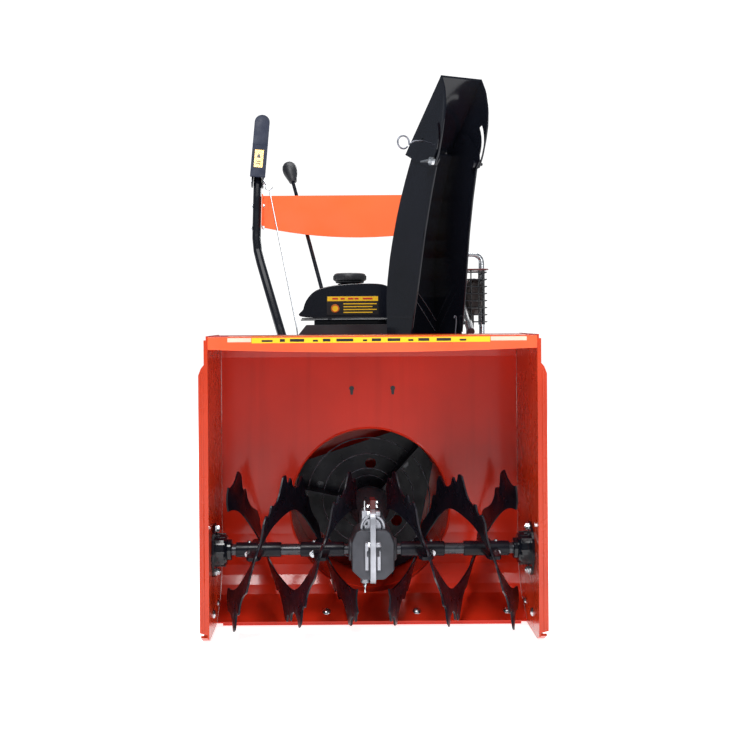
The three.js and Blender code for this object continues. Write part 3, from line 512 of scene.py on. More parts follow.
def add_auger(bm):
    for start in (0, pi):
        add_flight(bm, start)
    for low, high in ((50, 127), (161, 241)):
        sleeve = [(10.4, 0), (12.2, 0), (13, 0.8), (13, high - low - 0.8), (12.2, high - low),
                  (10.4, high - low)]
        add_revolved(bm, sleeve, (low, 0, 0), (1, 0, 0), 32, closed=True)
    for x in (90, 205):
        for way in (1, -1):
            arm = [(-15, 11.5), (15, 11.5), (13, 40), (12, 78), (8, 90), (-8, 90), (-12, 78), (-13, 40)]
            lean = move((x, 0, -3)) @ Matrix.Diagonal((1, way, 1, 1))
            add_prism(bm, arm, 6, lean)


def add_shear_bolts(bm):
    for x in (104, 218):
        spot = Vector((x, 0, 0))
        for way in (-1, 1):
            out = Vector((0, way * 0.88, way * 0.47))
            add_bolt(bm, spot + out * 12.6, out, 3.2)
        add_revolved(bm, [(0, 3.4), (2.6, 2.6), (3.4, 0)], spot + Vector((0, 0, 13)), (0, 0, 1), 12)


def make_augers():
    centre = move(AUGER_AXIS)
    for name, side in (("left", -1), ("right", 1)):
        place = centre @ Matrix.Diagonal((side, 1, 1, 1))
        piece(f"{name}_serrated_auger", add_auger, "worn_black", "auger", "black_paint", place,
              stands_for=(f"auger_{name}",), bevel=0.0005)
        piece(f"{name}_shear_bolts", add_shear_bolts, "steel", "auger", "steel", place)


# ---- housing
HOUSING_HIGH = mm_box("housing_wrap")[1]
TOP = HOUSING_HIGH.z
PANEL_INSIDE = 280      # half of the clear width between the side panels
SCRAPER_SLOPE = radians(26.6)
FLOOR_REACH = 145       # from the auger's axis down to the curved floor


def add_lip(bm):
    """The rolled lip under the housing's top edge: its lower edge bows down in the middle."""
    half = HOUSING_HIGH.x
    count = 24
    edge = []
    for i in range(count + 1):
        x = -half + 2 * half * i / count
        edge.append((x, TOP - 22 - 6 * (1 - (x / half) ** 2)))
    outline = edge + [(half, TOP - 1), (-half, TOP - 1)]
    add_prism(bm, outline, 2.2, move((0, 0.2, 0)) @ UPRIGHT)


def add_rolled_edges(bm):
    """Round hems along the mouth's side flanges."""
    for side in (-1, 1):
        x = side * 290
        route = [Vector((x, 1.0, 26)), Vector((x, 1.0, 466))]
        add_tube(bm, rounded_route(route, 4), 2.6, 10)


def add_drum_rim(bm):
    centre = middle("impeller_shaft")
    add_revolved(bm, ring_profile(152.0, 2.4), (0, HOUSING_HIGH.y - 1.5, centre.z), (0, 1, 0), 72,
                 closed=True)


# the keyhole slots are drawn as thin black plates: painted shade where the slots open
def add_keyholes(bm):
    for x in (-33, 45):
        round_end = [(4.6 * cos(radians(a)), 3 + 4.6 * sin(radians(a))) for a in range(-50, 231, 20)]
        outline = round_end + [(-2.2, -9), (2.2, -9)]
        add_prism(bm, outline, 0.8, move((x, HOUSING_HIGH.y - 2.9, 422)) @ UPRIGHT)


def add_housing_bolts(bm):
    up_slope = Vector((0, cos(SCRAPER_SLOPE), sin(SCRAPER_SLOPE)))
    inward = Vector((0, -sin(SCRAPER_SLOPE), cos(SCRAPER_SLOPE)))
    floor = Vector((0, AUGER_AXIS.y, AUGER_AXIS.z)) - inward * FLOOR_REACH
    for x in (-247.5, -82.5, 82.5, 247.5):
        add_bolt(bm, floor + up_slope * 5 + Vector((x, 0, 0)), inward, 4.2, "carriage")
    for side in (-1, 1):
        for y in (70, 150):
            add_bolt(bm, Vector((side * (PANEL_INSIDE + 0.2), y, 40)), (-side, 0, 0), 4.0, "carriage")
            add_bolt(bm, Vector((side * 287.8, y, 40)), (side, 0, 0), 3.6)
        for way in (-1, 1):
            spot = Vector((side * (PANEL_INSIDE - 4.5), AUGER_AXIS.y, AUGER_AXIS.z + way * 38))
            add_bolt(bm, spot, (-side, 0, 0), 3.8)
            add_bolt(bm, Vector((side * 283.4, spot.y, spot.z)), (side, 0, 0), 3.8)
        for z in (210, 330, 450):
            add_revolved(bm, [(0, 1.6), (3.0, 1.2), (4.4, 0)], (side * 283.3, 222, z), (side, 0, 0), 14)


def add_top_label(bm):
    add_box(bm, (-205, -2.4, TOP - 11.5), (200, -1.9, TOP - 2.5))
    add_box(bm, (-205, 4, TOP - 0.1), (200, 30, TOP + 0.35))


def add_label_ends(bm):
    for start, end in ((-246, -206), (201, 262)):
        add_box(bm, (start, -2.4, TOP - 9.5), (end, -1.9, TOP - 2.5))
        add_box(bm, (start, 4, TOP - 0.1), (end, 30, TOP + 0.35))


def add_top_marks(bm):
    """Plain marks on the strip: short bars and squares, no letters."""
    x = -188.0
    widths = (26, 12, 34, 12, 18, 40, 10, 22, 30, 12, 26, 34, 16)
    for i, width in enumerate(widths):
        add_box(bm, (x, -2.7, TOP - 9.4), (x + width * 0.72, -2.3, TOP - (4.6 if i % 3 else 6.2)))
        x += width + 5


def make_housing():
    # the lip is drawn brighter than the red paint: a painted highlight
    piece("housing_lip", add_lip, "lip", slot="red_paint", bevel=0.0007)
    piece("housing_hems", add_rolled_edges, "flange", slot="red_paint")
    piece("drum_rim", add_drum_rim, "red", slot="red_paint")
    piece("housing_keyholes", add_keyholes, "ink_and_hole_shade", slot="black_plastic")
    piece("housing_bolts", add_housing_bolts, "steel", slot="steel", bevel=0.0003)
    piece("top_label", add_top_label, "yellow", slot="orange_paint")
    piece("top_label_ends", add_label_ends, "pale", slot="orange_paint")
    piece("top_label_marks", add_top_marks, "ink_and_hole_shade", slot="black_plastic")


def add_bearing_cup(bm):
    """Ribs round the bearing's cup, and the lock collar on the shaft."""
    for k in range(12):
        angle = 2 * pi * k / 12
        turn = Matrix.Rotation(angle, 4, "X")
        add_box(bm, (-21, 24.0, -2.0), (-5, 29.8, 2.0), turn)
    add_revolved(bm, [(10.6, -32), (17, -32), (18.5, -30.5), (18.5, -24), (10.6, -24)], (0, 0, 0), (1, 0, 0),
                 28, closed=True)


def make_bearings():
    for name, side in (("left", -1), ("right", 1)):
        place = move((side * PANEL_INSIDE, AUGER_AXIS.y, AUGER_AXIS.z)) @ Matrix.Diagonal((side, 1, 1, 1))
        piece(f"{name}_bearing_ribs", add_bearing_cup, "black", slot="black_paint", place=place, bevel=0.0006)


# ---- gearbox and impeller
IMPELLER_AXIS = middle("impeller_shaft")
PLATE_FACE = 349      # depth of the impeller plate's front
FLANGE_HALF = 5.0
GEARBOX = move((0, AUGER_AXIS.y, 0))


def add_gearbox_face(bm):
    """The two halves' bolting flange, the ring round the worm's end, and the bosses and ribs beside it."""
    edge = [(0, 92), (-34, 97), (-49, 118), (-51, 160), (-50, 196), (-40, 222), (0, 231), (34, 226),
            (58, 200), (60, 150), (40, 102)]
    add_prism(bm, smooth_outline(edge, 4), 2 * FLANGE_HALF, move((-FLANGE_HALF, 0, 0)) @ SIDEWAYS)
    ring = [(16.5, -14), (16.5, 0), (18, 1.5), (21, 1.5), (22.5, 0), (22.5, -14)]
    add_revolved(bm, ring, (0, -30, IMPELLER_AXIS.z - 4), (0, -1, 0), 40, closed=True)
    add_revolved(bm, [(0, 0), (14.5, 0), (15.5, -1.5), (15.5, -12), (0, -12)], (0, -30, IMPELLER_AXIS.z - 4),
                 (0, -1, 0), 36)
    for z in (107, 165, 217):
        add_revolved(bm, [(0, 10), (3.5, 9.6), (5.2, 7.6), (5.6, 0)], (4.6, -42 + abs(z - 165) * 0.25, z),
                     (1, 0, 0), 20)
    for side, low, high in ((1, 118, 158), (-1, 118, 172)):
        rib = [(-40, low), (-46, low + 4), (-46, high - 4), (-40, high), (0, high), (0, low)]
        start = 7 if side > 0 else -14
        add_prism(bm, rib, 6, move((start, 0, 0)) @ SIDEWAYS)
    add_box(bm, (-19, -30, 196), (-8, 0, 222))
    add_revolved(bm, [(0, 12), (7, 12), (8, 10), (8, 0)], (-14, -24, 96), (0, 0, 1), 16)


def add_gearbox_bolts(bm):
    for z in (107, 165, 217):
        add_bolt(bm, Vector((-FLANGE_HALF, -42 + abs(z - 165) * 0.25, z)), (-1, 0, 0), 3.0)
    for y, z in ((18, 106), (48, 150), (44, 205), (12, 222)):
        for side in (-1, 1):
            add_bolt(bm, Vector((side * FLANGE_HALF, y, z)), (side, 0, 0), 3.0)
    for z in (226, 234):
        add_bolt(bm, Vector((FLANGE_HALF + 0.6, -16, z)), (1, 0, 0), 2.4)
    nipple = [(0, 17), (1.6, 16.6), (2.4, 14.5), (1.4, 12.5), (1.6, 7), (3.2, 5), (3.2, 0)]
    add_revolved(bm, nipple, (-14, -22, 222), (0, 0, 1), 14)
    add_revolved(bm, nipple, (-14, -24, 95), (0, -0.3, -1), 14)


def add_gearbox_bodies(bm):
    """The two worm wheel housings beside the flange: eight-sided, with sloping lower faces."""
    for side in (-1, 1):
        face = [(3, 104), (20, 104), (37, 120), (37.5, 168), (30, 186), (22, 190), (3, 190)]
        edge = [(side * x, z) for x, z in face]
        add_prism(bm, edge, 80, move((0, 38, 0)) @ UPRIGHT)
        add_revolved(bm, [(21, 0), (21, 3), (18, 5), (14, 5)], (side * 37.5, 0, AUGER_AXIS.z), (side, 0, 0),
                     28)


def add_gearbox_cone(bm):
    """The tapered housing of the worm shaft's rear bearing."""
    profile = [(23.4, 60), (25, 66), (25.5, 90), (29, 120), (36, 150), (39, 172), (37, 178), (12, 178)]
    add_revolved(bm, profile, (0, 0, IMPELLER_AXIS.z), (0, 1, 0), 44)


def add_top_cap(bm):
    """The painted block on top of the flange."""
    add_box(bm, (-4.5, -34, 219), (5, 6, 241))


def make_gearbox():
    piece("gearbox_flange", add_gearbox_face, "cast", slot="cast_aluminium", place=GEARBOX, bevel=0.0008)
    piece("gearbox_bolts", add_gearbox_bolts, "steel", slot="steel", place=GEARBOX, bevel=0.0003)
    # worm wheel housings: cast aluminium darkened as painted shade
    piece("gearbox_bodies", add_gearbox_bodies, "cast_in_painted_shade", slot="cast_aluminium", place=GEARBOX,
          bevel=0.003)
    piece("gearbox_cone", add_gearbox_cone, "grey", "impeller_assembly", "black_paint", GEARBOX, bevel=0.0008)
    # the top block is red paint; its dark red is painted shade
    piece("gearbox_top_block", add_top_cap, "red_shade_and_reflection", slot="red_paint", place=GEARBOX, bevel=0.0012)


def add_pressed_rings(bm):
    for radius, thick in ((47, 0.9), (61, 0.9), (90, 1.1), (122, 1.1)):
        add_revolved(bm, ring_profile(radius, thick), (0, PLATE_FACE, IMPELLER_AXIS.z), (0, 1, 0), 80,
                     closed=True)


def add_impeller_bolts(bm):
    for k in range(3):
        angle = radians(48 + 120 * k)
        for reach in (40, 100):
            spot = Vector((reach * cos(angle) + 8 * sin(angle), PLATE_FACE,
                           IMPELLER_AXIS.z + reach * sin(angle) - 8 * cos(angle)))
            add_bolt(bm, spot, (0, -1, 0), 3.4)


def make_impeller():
    # the rings are black like the plate; their light grey is a painted highlight
    piece("impeller_pressed_rings", add_pressed_rings, "edge", "impeller_assembly", "black_paint")
    piece("impeller_bolts", add_impeller_bolts, "dark_steel", "impeller_assembly", "steel", bevel=0.0003)


# ---- chute
HOOD_HALF = 50.5
HOOD_TAPER, HOOD_TAPER_FROM = 0.0011, 923   # share of width lost per mm, and from which height
HOOD_PIVOT = Vector((0, -76, 898))
CHUTE = move((114, 345, 0)) @ Matrix.Rotation(radians(28), 4, "Z")
CHUTE_FOOT_HALF, CHUTE_TAPER, CHUTE_FOOT = 60.0, 0.04, 515.0


def chute_half(z):
    """Half of the chute's outside width at a height."""
    return CHUTE_FOOT_HALF - CHUTE_TAPER * (z - CHUTE_FOOT)


def add_chute_seam(bm):
    """The overlap of the chute's two halves, a strap on each side wall, and the hems of its front edges."""
    for side in (-1, 1):
        for z, tall, low_front, low_back, high_back, high_front in ((716, 14, -80, 30, 26, -84),
                                                                    (560, 5, -52, 46, 46, -54)):
            low, high = z - tall / 2, z + tall / 2
            edge = [(low_front, low), (low_back, low), (high_back, high), (high_front, high)]
            start = chute_half(z) - 0.3 if side > 0 else -chute_half(z) - 0.9
            add_prism(bm, edge, 1.2, move((start, 0, 0)) @ SIDEWAYS)
    front = [(-46.5, 530), (-65, 614), (-85, 720), (-102, 787), (-119, 843)]
    for side in (-1, 1):
        route = [Vector((side * (chute_half(z) - 1.2), y, z)) for y, z in front]
        add_tube(bm, rounded_route(route, 14, 4), 1.7, 10)


def add_chute_creases(bm):
    """Creases low in the channel, drawn light grey as a painted highlight, and the latch rod beside them."""
    add_tube(bm, [Vector((1, 47.0, 606)), Vector((28, 46.0, 568)), Vector((52, 43.0, 532))], 0.9, 8)
    add_tube(bm, [Vector((5, 48.0, 622)), Vector((36, 46.5, 582)), Vector((56, 44.5, 552))], 0.9, 8)
    rod = [(50, -34, 520), (52, -36, 548), (52, -36, 560), (48, -36, 562), (47, -36, 557)]
    add_tube(bm, rounded_route(rod, 2.2, 4), 1.3, 10)


def add_chute_bolts(bm):
    add_bolt(bm, Vector((47.5, -116, 853)), (1, 0, 0), 5.0, "carriage")
    add_bolt(bm, HOOD_PIVOT + Vector((50.6, 0, 0)), (1, 0, 0), 4.2)
    for angle in (40, 160, 280):
        a = radians(angle)
        add_bolt(bm, Vector((77 * cos(a), 77 * sin(a), 519.2)), (0, 0, 1), 3.6)


def add_hood_hems(bm):
    """Rolled hems along the hood's side edges."""
    edge = [(-137, 1011), (-150, 985), (-154.5, 953), (-151.5, 925), (-144.5, 897), (-133.5, 866),
            (-121.5, 846)]
    for side in (-1, 1):
        route = []
        for y, z in edge:
            half = 49.6 * (1 - HOOD_TAPER * max(0, z - HOOD_TAPER_FROM))
            route.append(Vector((side * half, y, z)))
        add_tube(bm, rounded_route(route, 8, 4), 1.8, 10)


def add_hood_ring(bm):
    """The hinge wire's end, bent into a finger loop."""
    pivot, loop, radius = HOOD_PIVOT, -HOOD_HALF - 41, 12.2
    route = [pivot + Vector((-HOOD_HALF + 6, 0, 0)), pivot + Vector((-HOOD_HALF - 18, 0, -3))]
    for step in range(0, 25):
        angle = radians(-18 + 14.2 * step)
        route.append(pivot + Vector((loop + radius * cos(angle), 0.11 * step, -6 + radius * sin(angle))))
    add_tube(bm, route, 1.7, 12)


def make_chute():
    piece("deflector_finger_ring", add_hood_ring, "dull_steel", "deflector_hood", "steel", CHUTE,
          stands_for=("deflector_ring",))
    piece("chute_seam", add_chute_seam, "black", "chute_body", "black_paint", CHUTE)
    piece("chute_creases", add_chute_creases, "edge", "chute_body", "steel", CHUTE)
    piece("chute_bolts", add_chute_bolts, "steel", "chute_body", "steel", CHUTE, bevel=0.0003)
    piece("hood_hems", add_hood_hems, "black", "deflector_hood", "black_paint", CHUTE)


# ---- tank, exhaust and engine
CAP_SPOT = Vector((-31, 645, 0))
STARTER_CENTRE = Vector((0, 800, 412))


def add_tank_shell(bm):
    side = [(-127, 561), (-133, 580), (-122, 605), (-98, 623), (-50, 632), (20, 634), (50, 628), (66, 610),
            (71, 580), (70, 561)]
    add_prism(bm, smooth_outline(side, 5), 182, move((0, 737, 0)) @ UPRIGHT)


def add_tank_rims(bm):
    rim = [(-139, 548), (-135, 546), (70, 546), (74, 550), (74, 740), (70, 744), (-135, 744), (-139, 740)]
    add_prism(bm, rim, 3.0, move((0, 0, 554)))
    add_prism(bm, [(x * 0.985, 645 + (y - 645) * 0.985) for x, y in rim], 2.6, move((0, 0, 557.4)))
    add_box(bm, (-110, 570, 530), (60, 730, 554))
    add_revolved(bm, [(24, -8), (27, 0), (27, 4), (24, 4.6)], CAP_SPOT + Vector((0, 0, 632)), (0, 0, 1), 40)


def add_cap(bm):
    profile = [(0, 0), (30, 0), (32, 1.5), (32, 4), (35.6, 5.5), (36.4, 7), (36.4, 16), (34.5, 20),
               (30, 22.2), (22, 22.6), (20, 21.4), (0, 21.4)]
    add_revolved(bm, profile, CAP_SPOT + Vector((0, 0, 637.6)), (0, 0, 1), 48)
    for k in range(26):
        turn = move(CAP_SPOT) @ Matrix.Rotation(2 * pi * k / 26, 4, "Z")
        add_box(bm, (35.2, -1.3, 645), (37.4, 1.3, 654), turn)


LABEL_LOW, LABEL_HIGH = (-82, 566), (30, 607)


def add_tank_label(bm):
    add_box(bm, (LABEL_LOW[0], 553.2, LABEL_LOW[1]), (LABEL_HIGH[0], 554.6, LABEL_HIGH[1]))


def add_tank_stripe(bm):
    add_box(bm, (LABEL_LOW[0] + 1, 552.6, 596), (LABEL_HIGH[0] - 1, 553.4, LABEL_HIGH[1] - 1))
    for i in range(4):
        z = 590 - 6.2 * i
        add_box(bm, (-46, 552.7, z - 1.1), (26 - 9 * (i % 2), 553.4, z + 1.1))
    add_revolved(bm, [(0, 0.9), (9, 0.9), (9, 0)], (-64, 553.4, 580), (0, -1, 0), 28)


def add_tank_sign(bm):
    for i, x in enumerate((-70, -52, -36, -22, -4, 8)):
        add_box(bm, (x, 552.2, 599.5), (x + (9 if i % 2 else 12), 552.8, 603))
    add_revolved(bm, ring_profile(7.6, 1.1, 6), (-64, 552.6, 580), (0, 1, 0), 28, closed=True)


def make_tank():
    piece("fuel_tank_shell", add_tank_shell, "black", slot="black_paint", stands_for=("fuel_tank",),
          bevel=0.012)
    piece("fuel_tank_rims", add_tank_rims, "black", slot="black_paint", bevel=0.0012)
    piece("fuel_tank_cap", add_cap, "plastic", "tank_cap", "black_plastic", stands_for=("fuel_cap",),
          bevel=0.0004)
    piece("tank_label", add_tank_label, "ink_and_hole_shade", slot="black_plastic", bevel=0.0003)
    piece("tank_label_stripe", add_tank_stripe, "yellow", slot="orange_paint")
    piece("tank_label_sign", add_tank_sign, "sign_red", slot="red_paint")


def add_guard_wires(bm):
    low, high = mm_box("muffler_guard")
    right, front, back = high.x - 4, low.y + 2.5, high.y - 3
    for i in range(8):
        z = 549 + 15.5 * i
        route = [Vector((low.x + 3, front, z)), Vector((right, front, z)), Vector((right, back, z))]
        add_tube(bm, rounded_route(route, 9, 5), 1.5, 10)
    for x in (low.x + 4, low.x + 20, low.x + 37, right - 9):
        add_tube(bm, [Vector((x, front + 2.2, 543)), Vector((x, front + 2.2, high.z - 1))], 1.5, 10)
    for y in (front + 34, front + 68, front + 101, back - 1):
        add_tube(bm, [Vector((right - 2.2, y, 543)), Vector((right - 2.2, y, high.z - 1))], 1.5, 10)


def add_guard_plate(bm):
    low, high = mm_box("muffler_guard")
    corner = 8
    outline = [(low.x, low.y), (high.x - corner, low.y), (high.x, low.y + corner), (high.x, high.y - corner),
               (high.x - corner, high.y), (low.x, high.y)]
    add_prism(bm, outline, 3, move((0, 0, high.z - 3)))


def add_hoop(bm):
    route = [(206, 728, 440), (275, 728, 440), (275, 728, 704), (148, 728, 704), (148, 728, 522)]
    add_tube(bm, rounded_route(route, 22, 10), 6.4, 24)


def add_muffler_seams(bm):
    for y in (606, 682):
        rim = [(243 + 22.0 * cos(a), 604 + 41.0 * sin(a)) for a in (2 * pi * k / 40 for k in range(40))]
        add_prism(bm, rim, 4, move((0, y, 0)) @ UPRIGHT)


def make_exhaust():
    piece("muffler_guard_wires", add_guard_wires, "black", slot="black_paint", stands_for=("muffler_guard",))
    # the guard plate is black paint; its dark red is a painted reflection
    piece("muffler_guard_plate", add_guard_plate, "red_shade_and_reflection", slot="black_paint", bevel=0.0008)
    piece("engine_guard_hoop", add_hoop, "steel", slot="steel", stands_for=("guard_hoop",))
    piece("muffler_seams", add_muffler_seams, "hot_steel", slot="steel", bevel=0.0008)


# the vent slots are drawn as thin black bars: painted shade in the openings
def add_starter_vents(bm):
    for k in range(20):
        angle = 2 * pi * k / 20
        turn = move(STARTER_CENTRE) @ Matrix.Rotation(angle, 4, "Y")
        add_box(bm, (40, 33.0, -2.4), (60, 34.6, 2.4), turn)
        add_box(bm, (86, -0.6, -2.2), (99, 0.8, 2.2), turn)


def add_starter_trim(bm):
    add_revolved(bm, ring_profile(72, 3.0), STARTER_CENTRE + Vector((0, 27, 0)), (0, 1, 0), 64, closed=True)
    add_revolved(bm, [(0, 38.5), (24, 38.0), (30, 35.5), (31, 33.5)], STARTER_CENTRE, (0, 1, 0), 48)
    add_revolved(bm, ring_profile(103, 1.8), STARTER_CENTRE, (0, 1, 0), 64, closed=True)


def add_engine_bolts(bm):
    for angle in (30, 150, 270):
        a = radians(angle)
        add_bolt(bm, Vector((92 * cos(a), 800.2, 412 + 92 * sin(a) * 0.8)), (0, 1, 0), 3.4)
    for x in (-70, 70):
        for z in (350, 480):
            add_bolt(bm, Vector((x, 574.8, z)), (0, -1, 0), 3.6)
    for x in (-110, 110):
        for y in (470, 560, 650, 740, 820):
            add_bolt(bm, Vector((x, y, 94.8 - 4)), (0, 0, -1), 3.2)
    for side in (-1, 1):
        for y in (470, 800):
            for z in (130, 300):
                add_bolt(bm, Vector((side * 150.2, y, z)), (side, 0, 0), 4.0)
    for x, z in ((-128, 350), (-128, 500), (128, 350), (128, 460)):
        add_bolt(bm, Vector((x, 437, z)), (0, -1, 0), 3.0)


def add_air_box_lines(bm):
    low, high = mm_box("air_box")
    for z in (445, 465, 485):
        add_box(bm, (low.x - 0.8, low.y + 8, z), (low.x + 1, high.y - 8, z + 4))
        add_box(bm, (low.x + 6, low.y - 0.8, z), (high.x - 6, low.y + 1, z + 4))
    add_box(bm, (low.x - 1, low.y - 1, 503), (high.x + 1, high.y + 1, 506))
    add_revolved(bm, [(0, 10), (9, 10), (11, 7), (11, 0)],
                 ((low.x + high.x) / 2, (low.y + high.y) / 2, high.z - 1), (0, 0, 1), 24)


def add_spark_plug(bm):
    add_revolved(bm, [(6, 0), (6, 12), (9, 14), (9, 34), (7, 38), (0, 38)], (206.4, 640, 430),
                 (0.94, -0.34, 0), 20)
    lead = [(230, 628, 432), (240, 600, 436), (226, 578, 452), (180, 570, 480), (120, 572, 500)]
    add_tube(bm, rounded_route(lead, 14, 6), 3.2, 12)


def add_box_panels(bm):
    """Pressed panels and louvres on the drive box."""
    low, high = mm_box("drive_box")
    for i in range(5):
        z = low.z + 70 + 22 * i
        for side in (-1, 1):
            for start in (high.y - 250, high.y - 110):
                louvre = [(start, z), (start + 70, z), (start + 70, z + 7), (start, z + 4)]
                if z < 175 or z > 262 or start < high.y - 200:
                    add_prism(bm, louvre, 2.4, move((side * high.x - 1.2, 0, 0)) @ SIDEWAYS)
    frame_edge = [(-128, low.z + 18), (128, low.z + 18), (128, high.z - 18), (-128, high.z - 18)]
    add_prism(bm, frame_edge, 2.2, move((0, high.y + 2.0, 0)) @ UPRIGHT)


def add_box_screws(bm):
    low, high = mm_box("drive_box")
    for x in (-114, 0, 114):
        for z in (low.z + 32, high.z - 32):
            add_bolt(bm, Vector((x, high.y + 2, z)), (0, 1, 0), 3.2)


def add_fin_plates(bm):
    """Thin cooling fins between the block's plain ones."""
    for i in range(9):
        x = 91 + 10.4 * i
        add_box(bm, (x, 597, 392), (x + 1.8, 723, 512))


def make_engine():
    piece("drive_box_panels", add_box_panels, "black", slot="black_paint", bevel=0.0007)
    piece("drive_box_screws", add_box_screws, "steel", slot="steel", bevel=0.0003)
    piece("cylinder_fins", add_fin_plates, "cast", slot="cast_aluminium")
    piece("starter_vents", add_starter_vents, "ink_and_hole_shade", slot="black_plastic")
    piece("starter_trim", add_starter_trim, "black", slot="black_paint")
    piece("engine_bolts", add_engine_bolts, "steel", slot="steel", bevel=0.0003)
    piece("air_box_trim", add_air_box_lines, "plastic", slot="black_plastic", bevel=0.0006)
    piece("spark_plug_lead", add_spark_plug, "rubber", slot="rubber")


# ---- wheels
def add_tyre(bm):
    low, high = mm_box("tyre_right")
    radius, width = (high.z - low.z) / 2, high.x - low.x
    body = radius - 9
    half = width / 2
    profile = [(104.6, -40), (108, -45), (118, -48.5), (134, -half), (146, -48), (body - 2, -42), (body, -32),
               (body + 1, 0), (body, 32), (body - 2, 42), (146, 48), (134, half), (118, 48.5), (108, 45),
               (104.6, 40)]
    add_revolved(bm, profile, (0, 0, 0), (1, 0, 0), 72, closed=True)
    pitch = 2 * pi / 22
    for k in range(22):
        for side in (-1, 1):
            turn = Matrix.Rotation(pitch * (k + (0.5 if side > 0 else 0)), 4, "X")
            lug = [(side * 3, -9), (side * 3, 3), (side * 30, 16), (side * 46, 16), (side * 48, 4),
                   (side * 30, -2)]
            bottom = [bm.verts.new(turn @ Vector((x, y, body - 3 - (4 if abs(x) > 40 else 0))))
                      for x, y in lug]
            top = [bm.verts.new(turn @ Vector((x * 0.97, y * 0.86, radius - 0.3 - (7 if abs(x) > 40 else 0))))
                   for x, y in lug]
            bm.faces.new(bottom)
            bm.faces.new(top[::-1])
            for i in range(len(lug)):
                j = (i + 1) % len(lug)
                bm.faces.new((bottom[i], top[i], top[j], bottom[j]))
    for radius_of_rib in (112, 126):
        for side in (-1, 1):
            add_revolved(bm, ring_profile(radius_of_rib, 1.4), (side * 48.6, 0, 0), (1, 0, 0), 72,
                         closed=True)


def add_wheel_bolts(bm):
    for k in range(4):
        angle = radians(45 + 90 * k)
        add_bolt(bm, Vector((6.2, 52 * cos(angle), 52 * sin(angle))), (1, 0, 0), 4.2)
    add_revolved(bm, [(0, 16), (3, 16), (3, 9), (4, 8), (4, 0)], (6, 78, 30), (1, 0, 0), 14)
    add_revolved(bm, [(3, 0), (3.2, 2), (3.2, 30), (0, 30)], (24, 0, -15), (0, 0, 1), 12)


def make_wheels():
    for name, side in (("left", -1), ("right", 1)):
        centre = middle(f"tyre_{name}")
        place = move(centre) @ Matrix.Diagonal((side, 1, 1, 1))
        piece(f"{name}_snow_tyre", add_tyre, "rubber", "wheels", "tyre", place, stands_for=(f"tyre_{name}",),
              bevel=0.0008)
        piece(f"{name}_wheel_bolts", add_wheel_bolts, "steel", "wheels", "steel", place, bevel=0.0003)


# ---- handlebars
GRIP_LEAN = atan2(100, 185)
LEVER_REST = radians(18)
GRIP_TILT, PAD_TILT = radians(2.5), radians(4.5)   # lean toward the machine's middle


def add_grip(bm):
    profile = [(11.4, -119), (15, -119), (16.4, -117)]
    for i in range(17):
        z = -112 + 6.4 * i
        profile += [(16.8, z), (15.7, z + 1.2), (15.7, z + 3.2), (16.8, z + 4.6)]
    profile += [(16.4, 1), (14.5, 4.2), (9, 5), (0, 5), (0, 0.6), (11.4, 0.6)]
    add_revolved(bm, profile, (0, 0, 0), (0, 0, 1), 32)


def add_lever_pad(bm):
    """The rounded moulding over the lever's web."""
    top = 160
    edge = [(-20, 8), (20, 8), (20, top)]
    edge += [(20 * cos(radians(a)), top + 20 * sin(radians(a))) for a in range(15, 180, 15)]
    edge += [(-20, top)]
    add_prism(bm, edge, 6.5, move((0, -20.5, 0)) @ UPRIGHT)
    add_box(bm, (-20.6, -27.6, 96), (20.6, -20, 99))


def add_lever_cheeks(bm):
    """The two steel cheeks that carry the pad on its pivot."""
    for x in (-15.5, 12.5):
        cheek = [(-24, 8), (-16, -12), (-8, -15), (6, -14), (12, -6), (12, 8), (-16, 60), (-24, 60)]
        add_prism(bm, cheek, 3, move((x, 0, 0)) @ SIDEWAYS)


def add_lever_label(bm):
    add_box(bm, (-12, -27.6, 34), (11, -26.8, 82))


def add_lever_marks(bm):
    add_prism(bm, [(-7, 60), (5, 60), (-1, 74)], 0.5, move((0, -27.5, 0)) @ UPRIGHT)
    for z in (42, 49):
        add_box(bm, (-8, -28.0, z), (5, -27.5, z + 2.6))


def add_lever_bolts(bm):
    for side in (-1, 1):
        add_bolt(bm, Vector((side * 15.6, 0, 0)), (side, 0, 0), 3.6)


def make_handles():
    for name, side in (("left", -1), ("right", 1)):
        bar = middle(f"grip_{name}").x
        grip_place = (move((bar - side * 3, 1205, 1085)) @ Matrix.Rotation(-side * GRIP_TILT, 4, "Y")
                      @ Matrix.Rotation(-GRIP_LEAN, 4, "X"))
        piece(f"{name}_ribbed_grip", add_grip, "rubber", slot="rubber", place=grip_place,
              stands_for=(f"grip_{name}",))
        body = "auger_lever" if side < 0 else "drive_lever"
        lever_place = (move((bar, 1116, 920)) @ Matrix.Rotation(-side * PAD_TILT, 4, "Y")
                       @ Matrix.Rotation(LEVER_REST - GRIP_LEAN, 4, "X"))
        piece(f"{name}_lever_cheeks", add_lever_cheeks, "black", body, "black_paint", lever_place,
              bevel=0.0004, stands_for=(f"lever_{name}",))
        piece(f"{name}_lever_pad", add_lever_pad, "pad", body, "black_plastic", lever_place, bevel=0.0022)
        piece(f"{name}_lever_label", add_lever_label, "yellow", body, "orange_paint", lever_place)
        piece(f"{name}_lever_marks", add_lever_marks, "ink_and_hole_shade", body, "black_plastic", lever_place)
        piece(f"{name}_lever_pivot", add_lever_bolts, "steel", body, "steel", lever_place, bevel=0.0003)


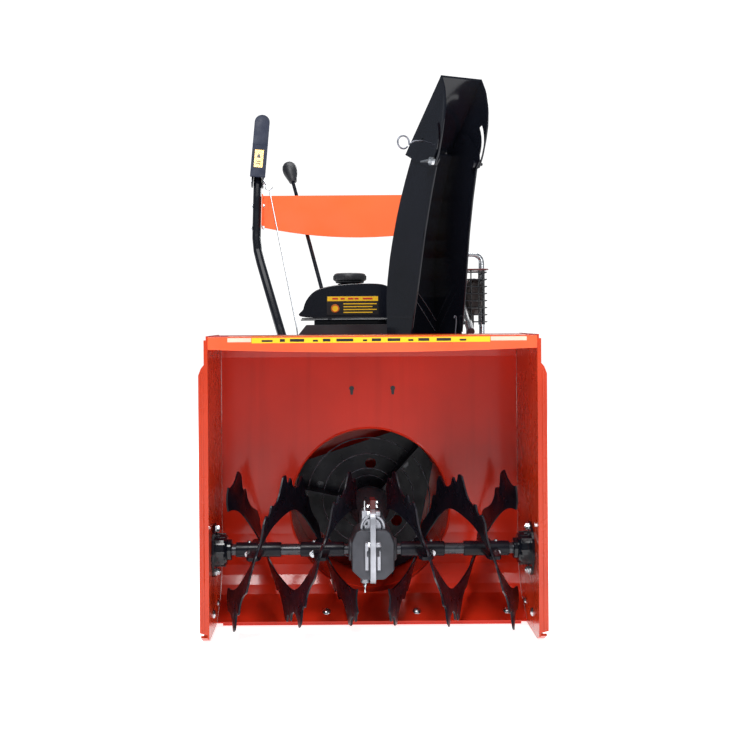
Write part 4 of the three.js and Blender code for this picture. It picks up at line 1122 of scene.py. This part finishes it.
def add_handle_bolts(bm):
    bar = middle("grip_right").x
    for side in (-1, 1):
        for z in (796, 855):
            y = 1040 + 65 * (z - 744) / 156
            add_bolt(bm, Vector((side * (bar + 11.2), y, z)), (side, 0, 0), 3.4)
            add_bolt(bm, Vector((side * (bar - 15.7), y, z)), (-side, 0, 0), 3.0)
        for z in (240, 330):
            add_bolt(bm, Vector((side * 175.2, 760 + 78 * (z - 190) / 230, z)), (side, 0, 0), 4.0)
        add_revolved(bm, [(0, 3), (8, 3), (9.5, 1), (9.5, -2), (0, -2)], (side * 238, 1102, 905),
                     (0, -0.8, 0.5), 24)
        add_tube(bm, [Vector((side * 238, 1104, 905)), Vector((side * (bar - 14), 1112, 926))], 2.4, 12)


def add_knob(bm):
    profile = [(5.7, -32), (9, -32), (10.4, -30), (11.5, -24), (14.5, -16), (17.6, -6), (19.4, 3), (19.4, 12),
               (17.5, 20), (13, 26), (7, 28.6), (0, 29)]
    add_revolved(bm, profile, (0, 0, 0), (0, 0, 1), 36)


def add_crank_grip(bm):
    run = Vector((-7, 840, 350)).normalized()
    across = -Vector((1, 0, 0)).cross(run).normalized()
    elbow = Vector((200, 1190, 880)) + across * 90
    route = [elbow + run * d for d in (24, 27, 40, 60, 80, 89, 92)]
    add_tube(bm, route, [8, 10.5, 11.5, 12, 11.5, 10.5, 8], 28)


def add_dash_holes(bm):
    """The crank's grommet in the dash panel."""
    centre = Vector((200.5, 1080.4, 833.5))
    add_revolved(bm, [(6.2, -3), (15.5, -3), (15.5, 3), (6.2, 3)], centre, (0, -0.923, 0.385), 32,
                 closed=True)


def make_controls():
    piece("handlebar_bolts", add_handle_bolts, "steel", slot="steel", bevel=0.0003)
    stem = Vector((-157, 264, 596))
    knob_place = move((-182.5, 1152, 951.5)) @ axis_frame(stem)
    piece("speed_knob", add_knob, "plastic", "speed_lever", "black_plastic", knob_place,
          stands_for=("shift_knob",))
    piece("crank_grip", add_crank_grip, "plastic", "chute_crank", "black_plastic")
    piece("crank_grommet", add_dash_holes, "rubber", slot="rubber", bevel=0.0005)


add_camera()
add_stage()
MATS = make_materials()
dress_nodes(MATS)
make_augers()
make_housing()
make_bearings()
make_gearbox()
make_impeller()
make_chute()
make_tank()
make_exhaust()
make_engine()
make_wheels()
make_handles()
make_controls()
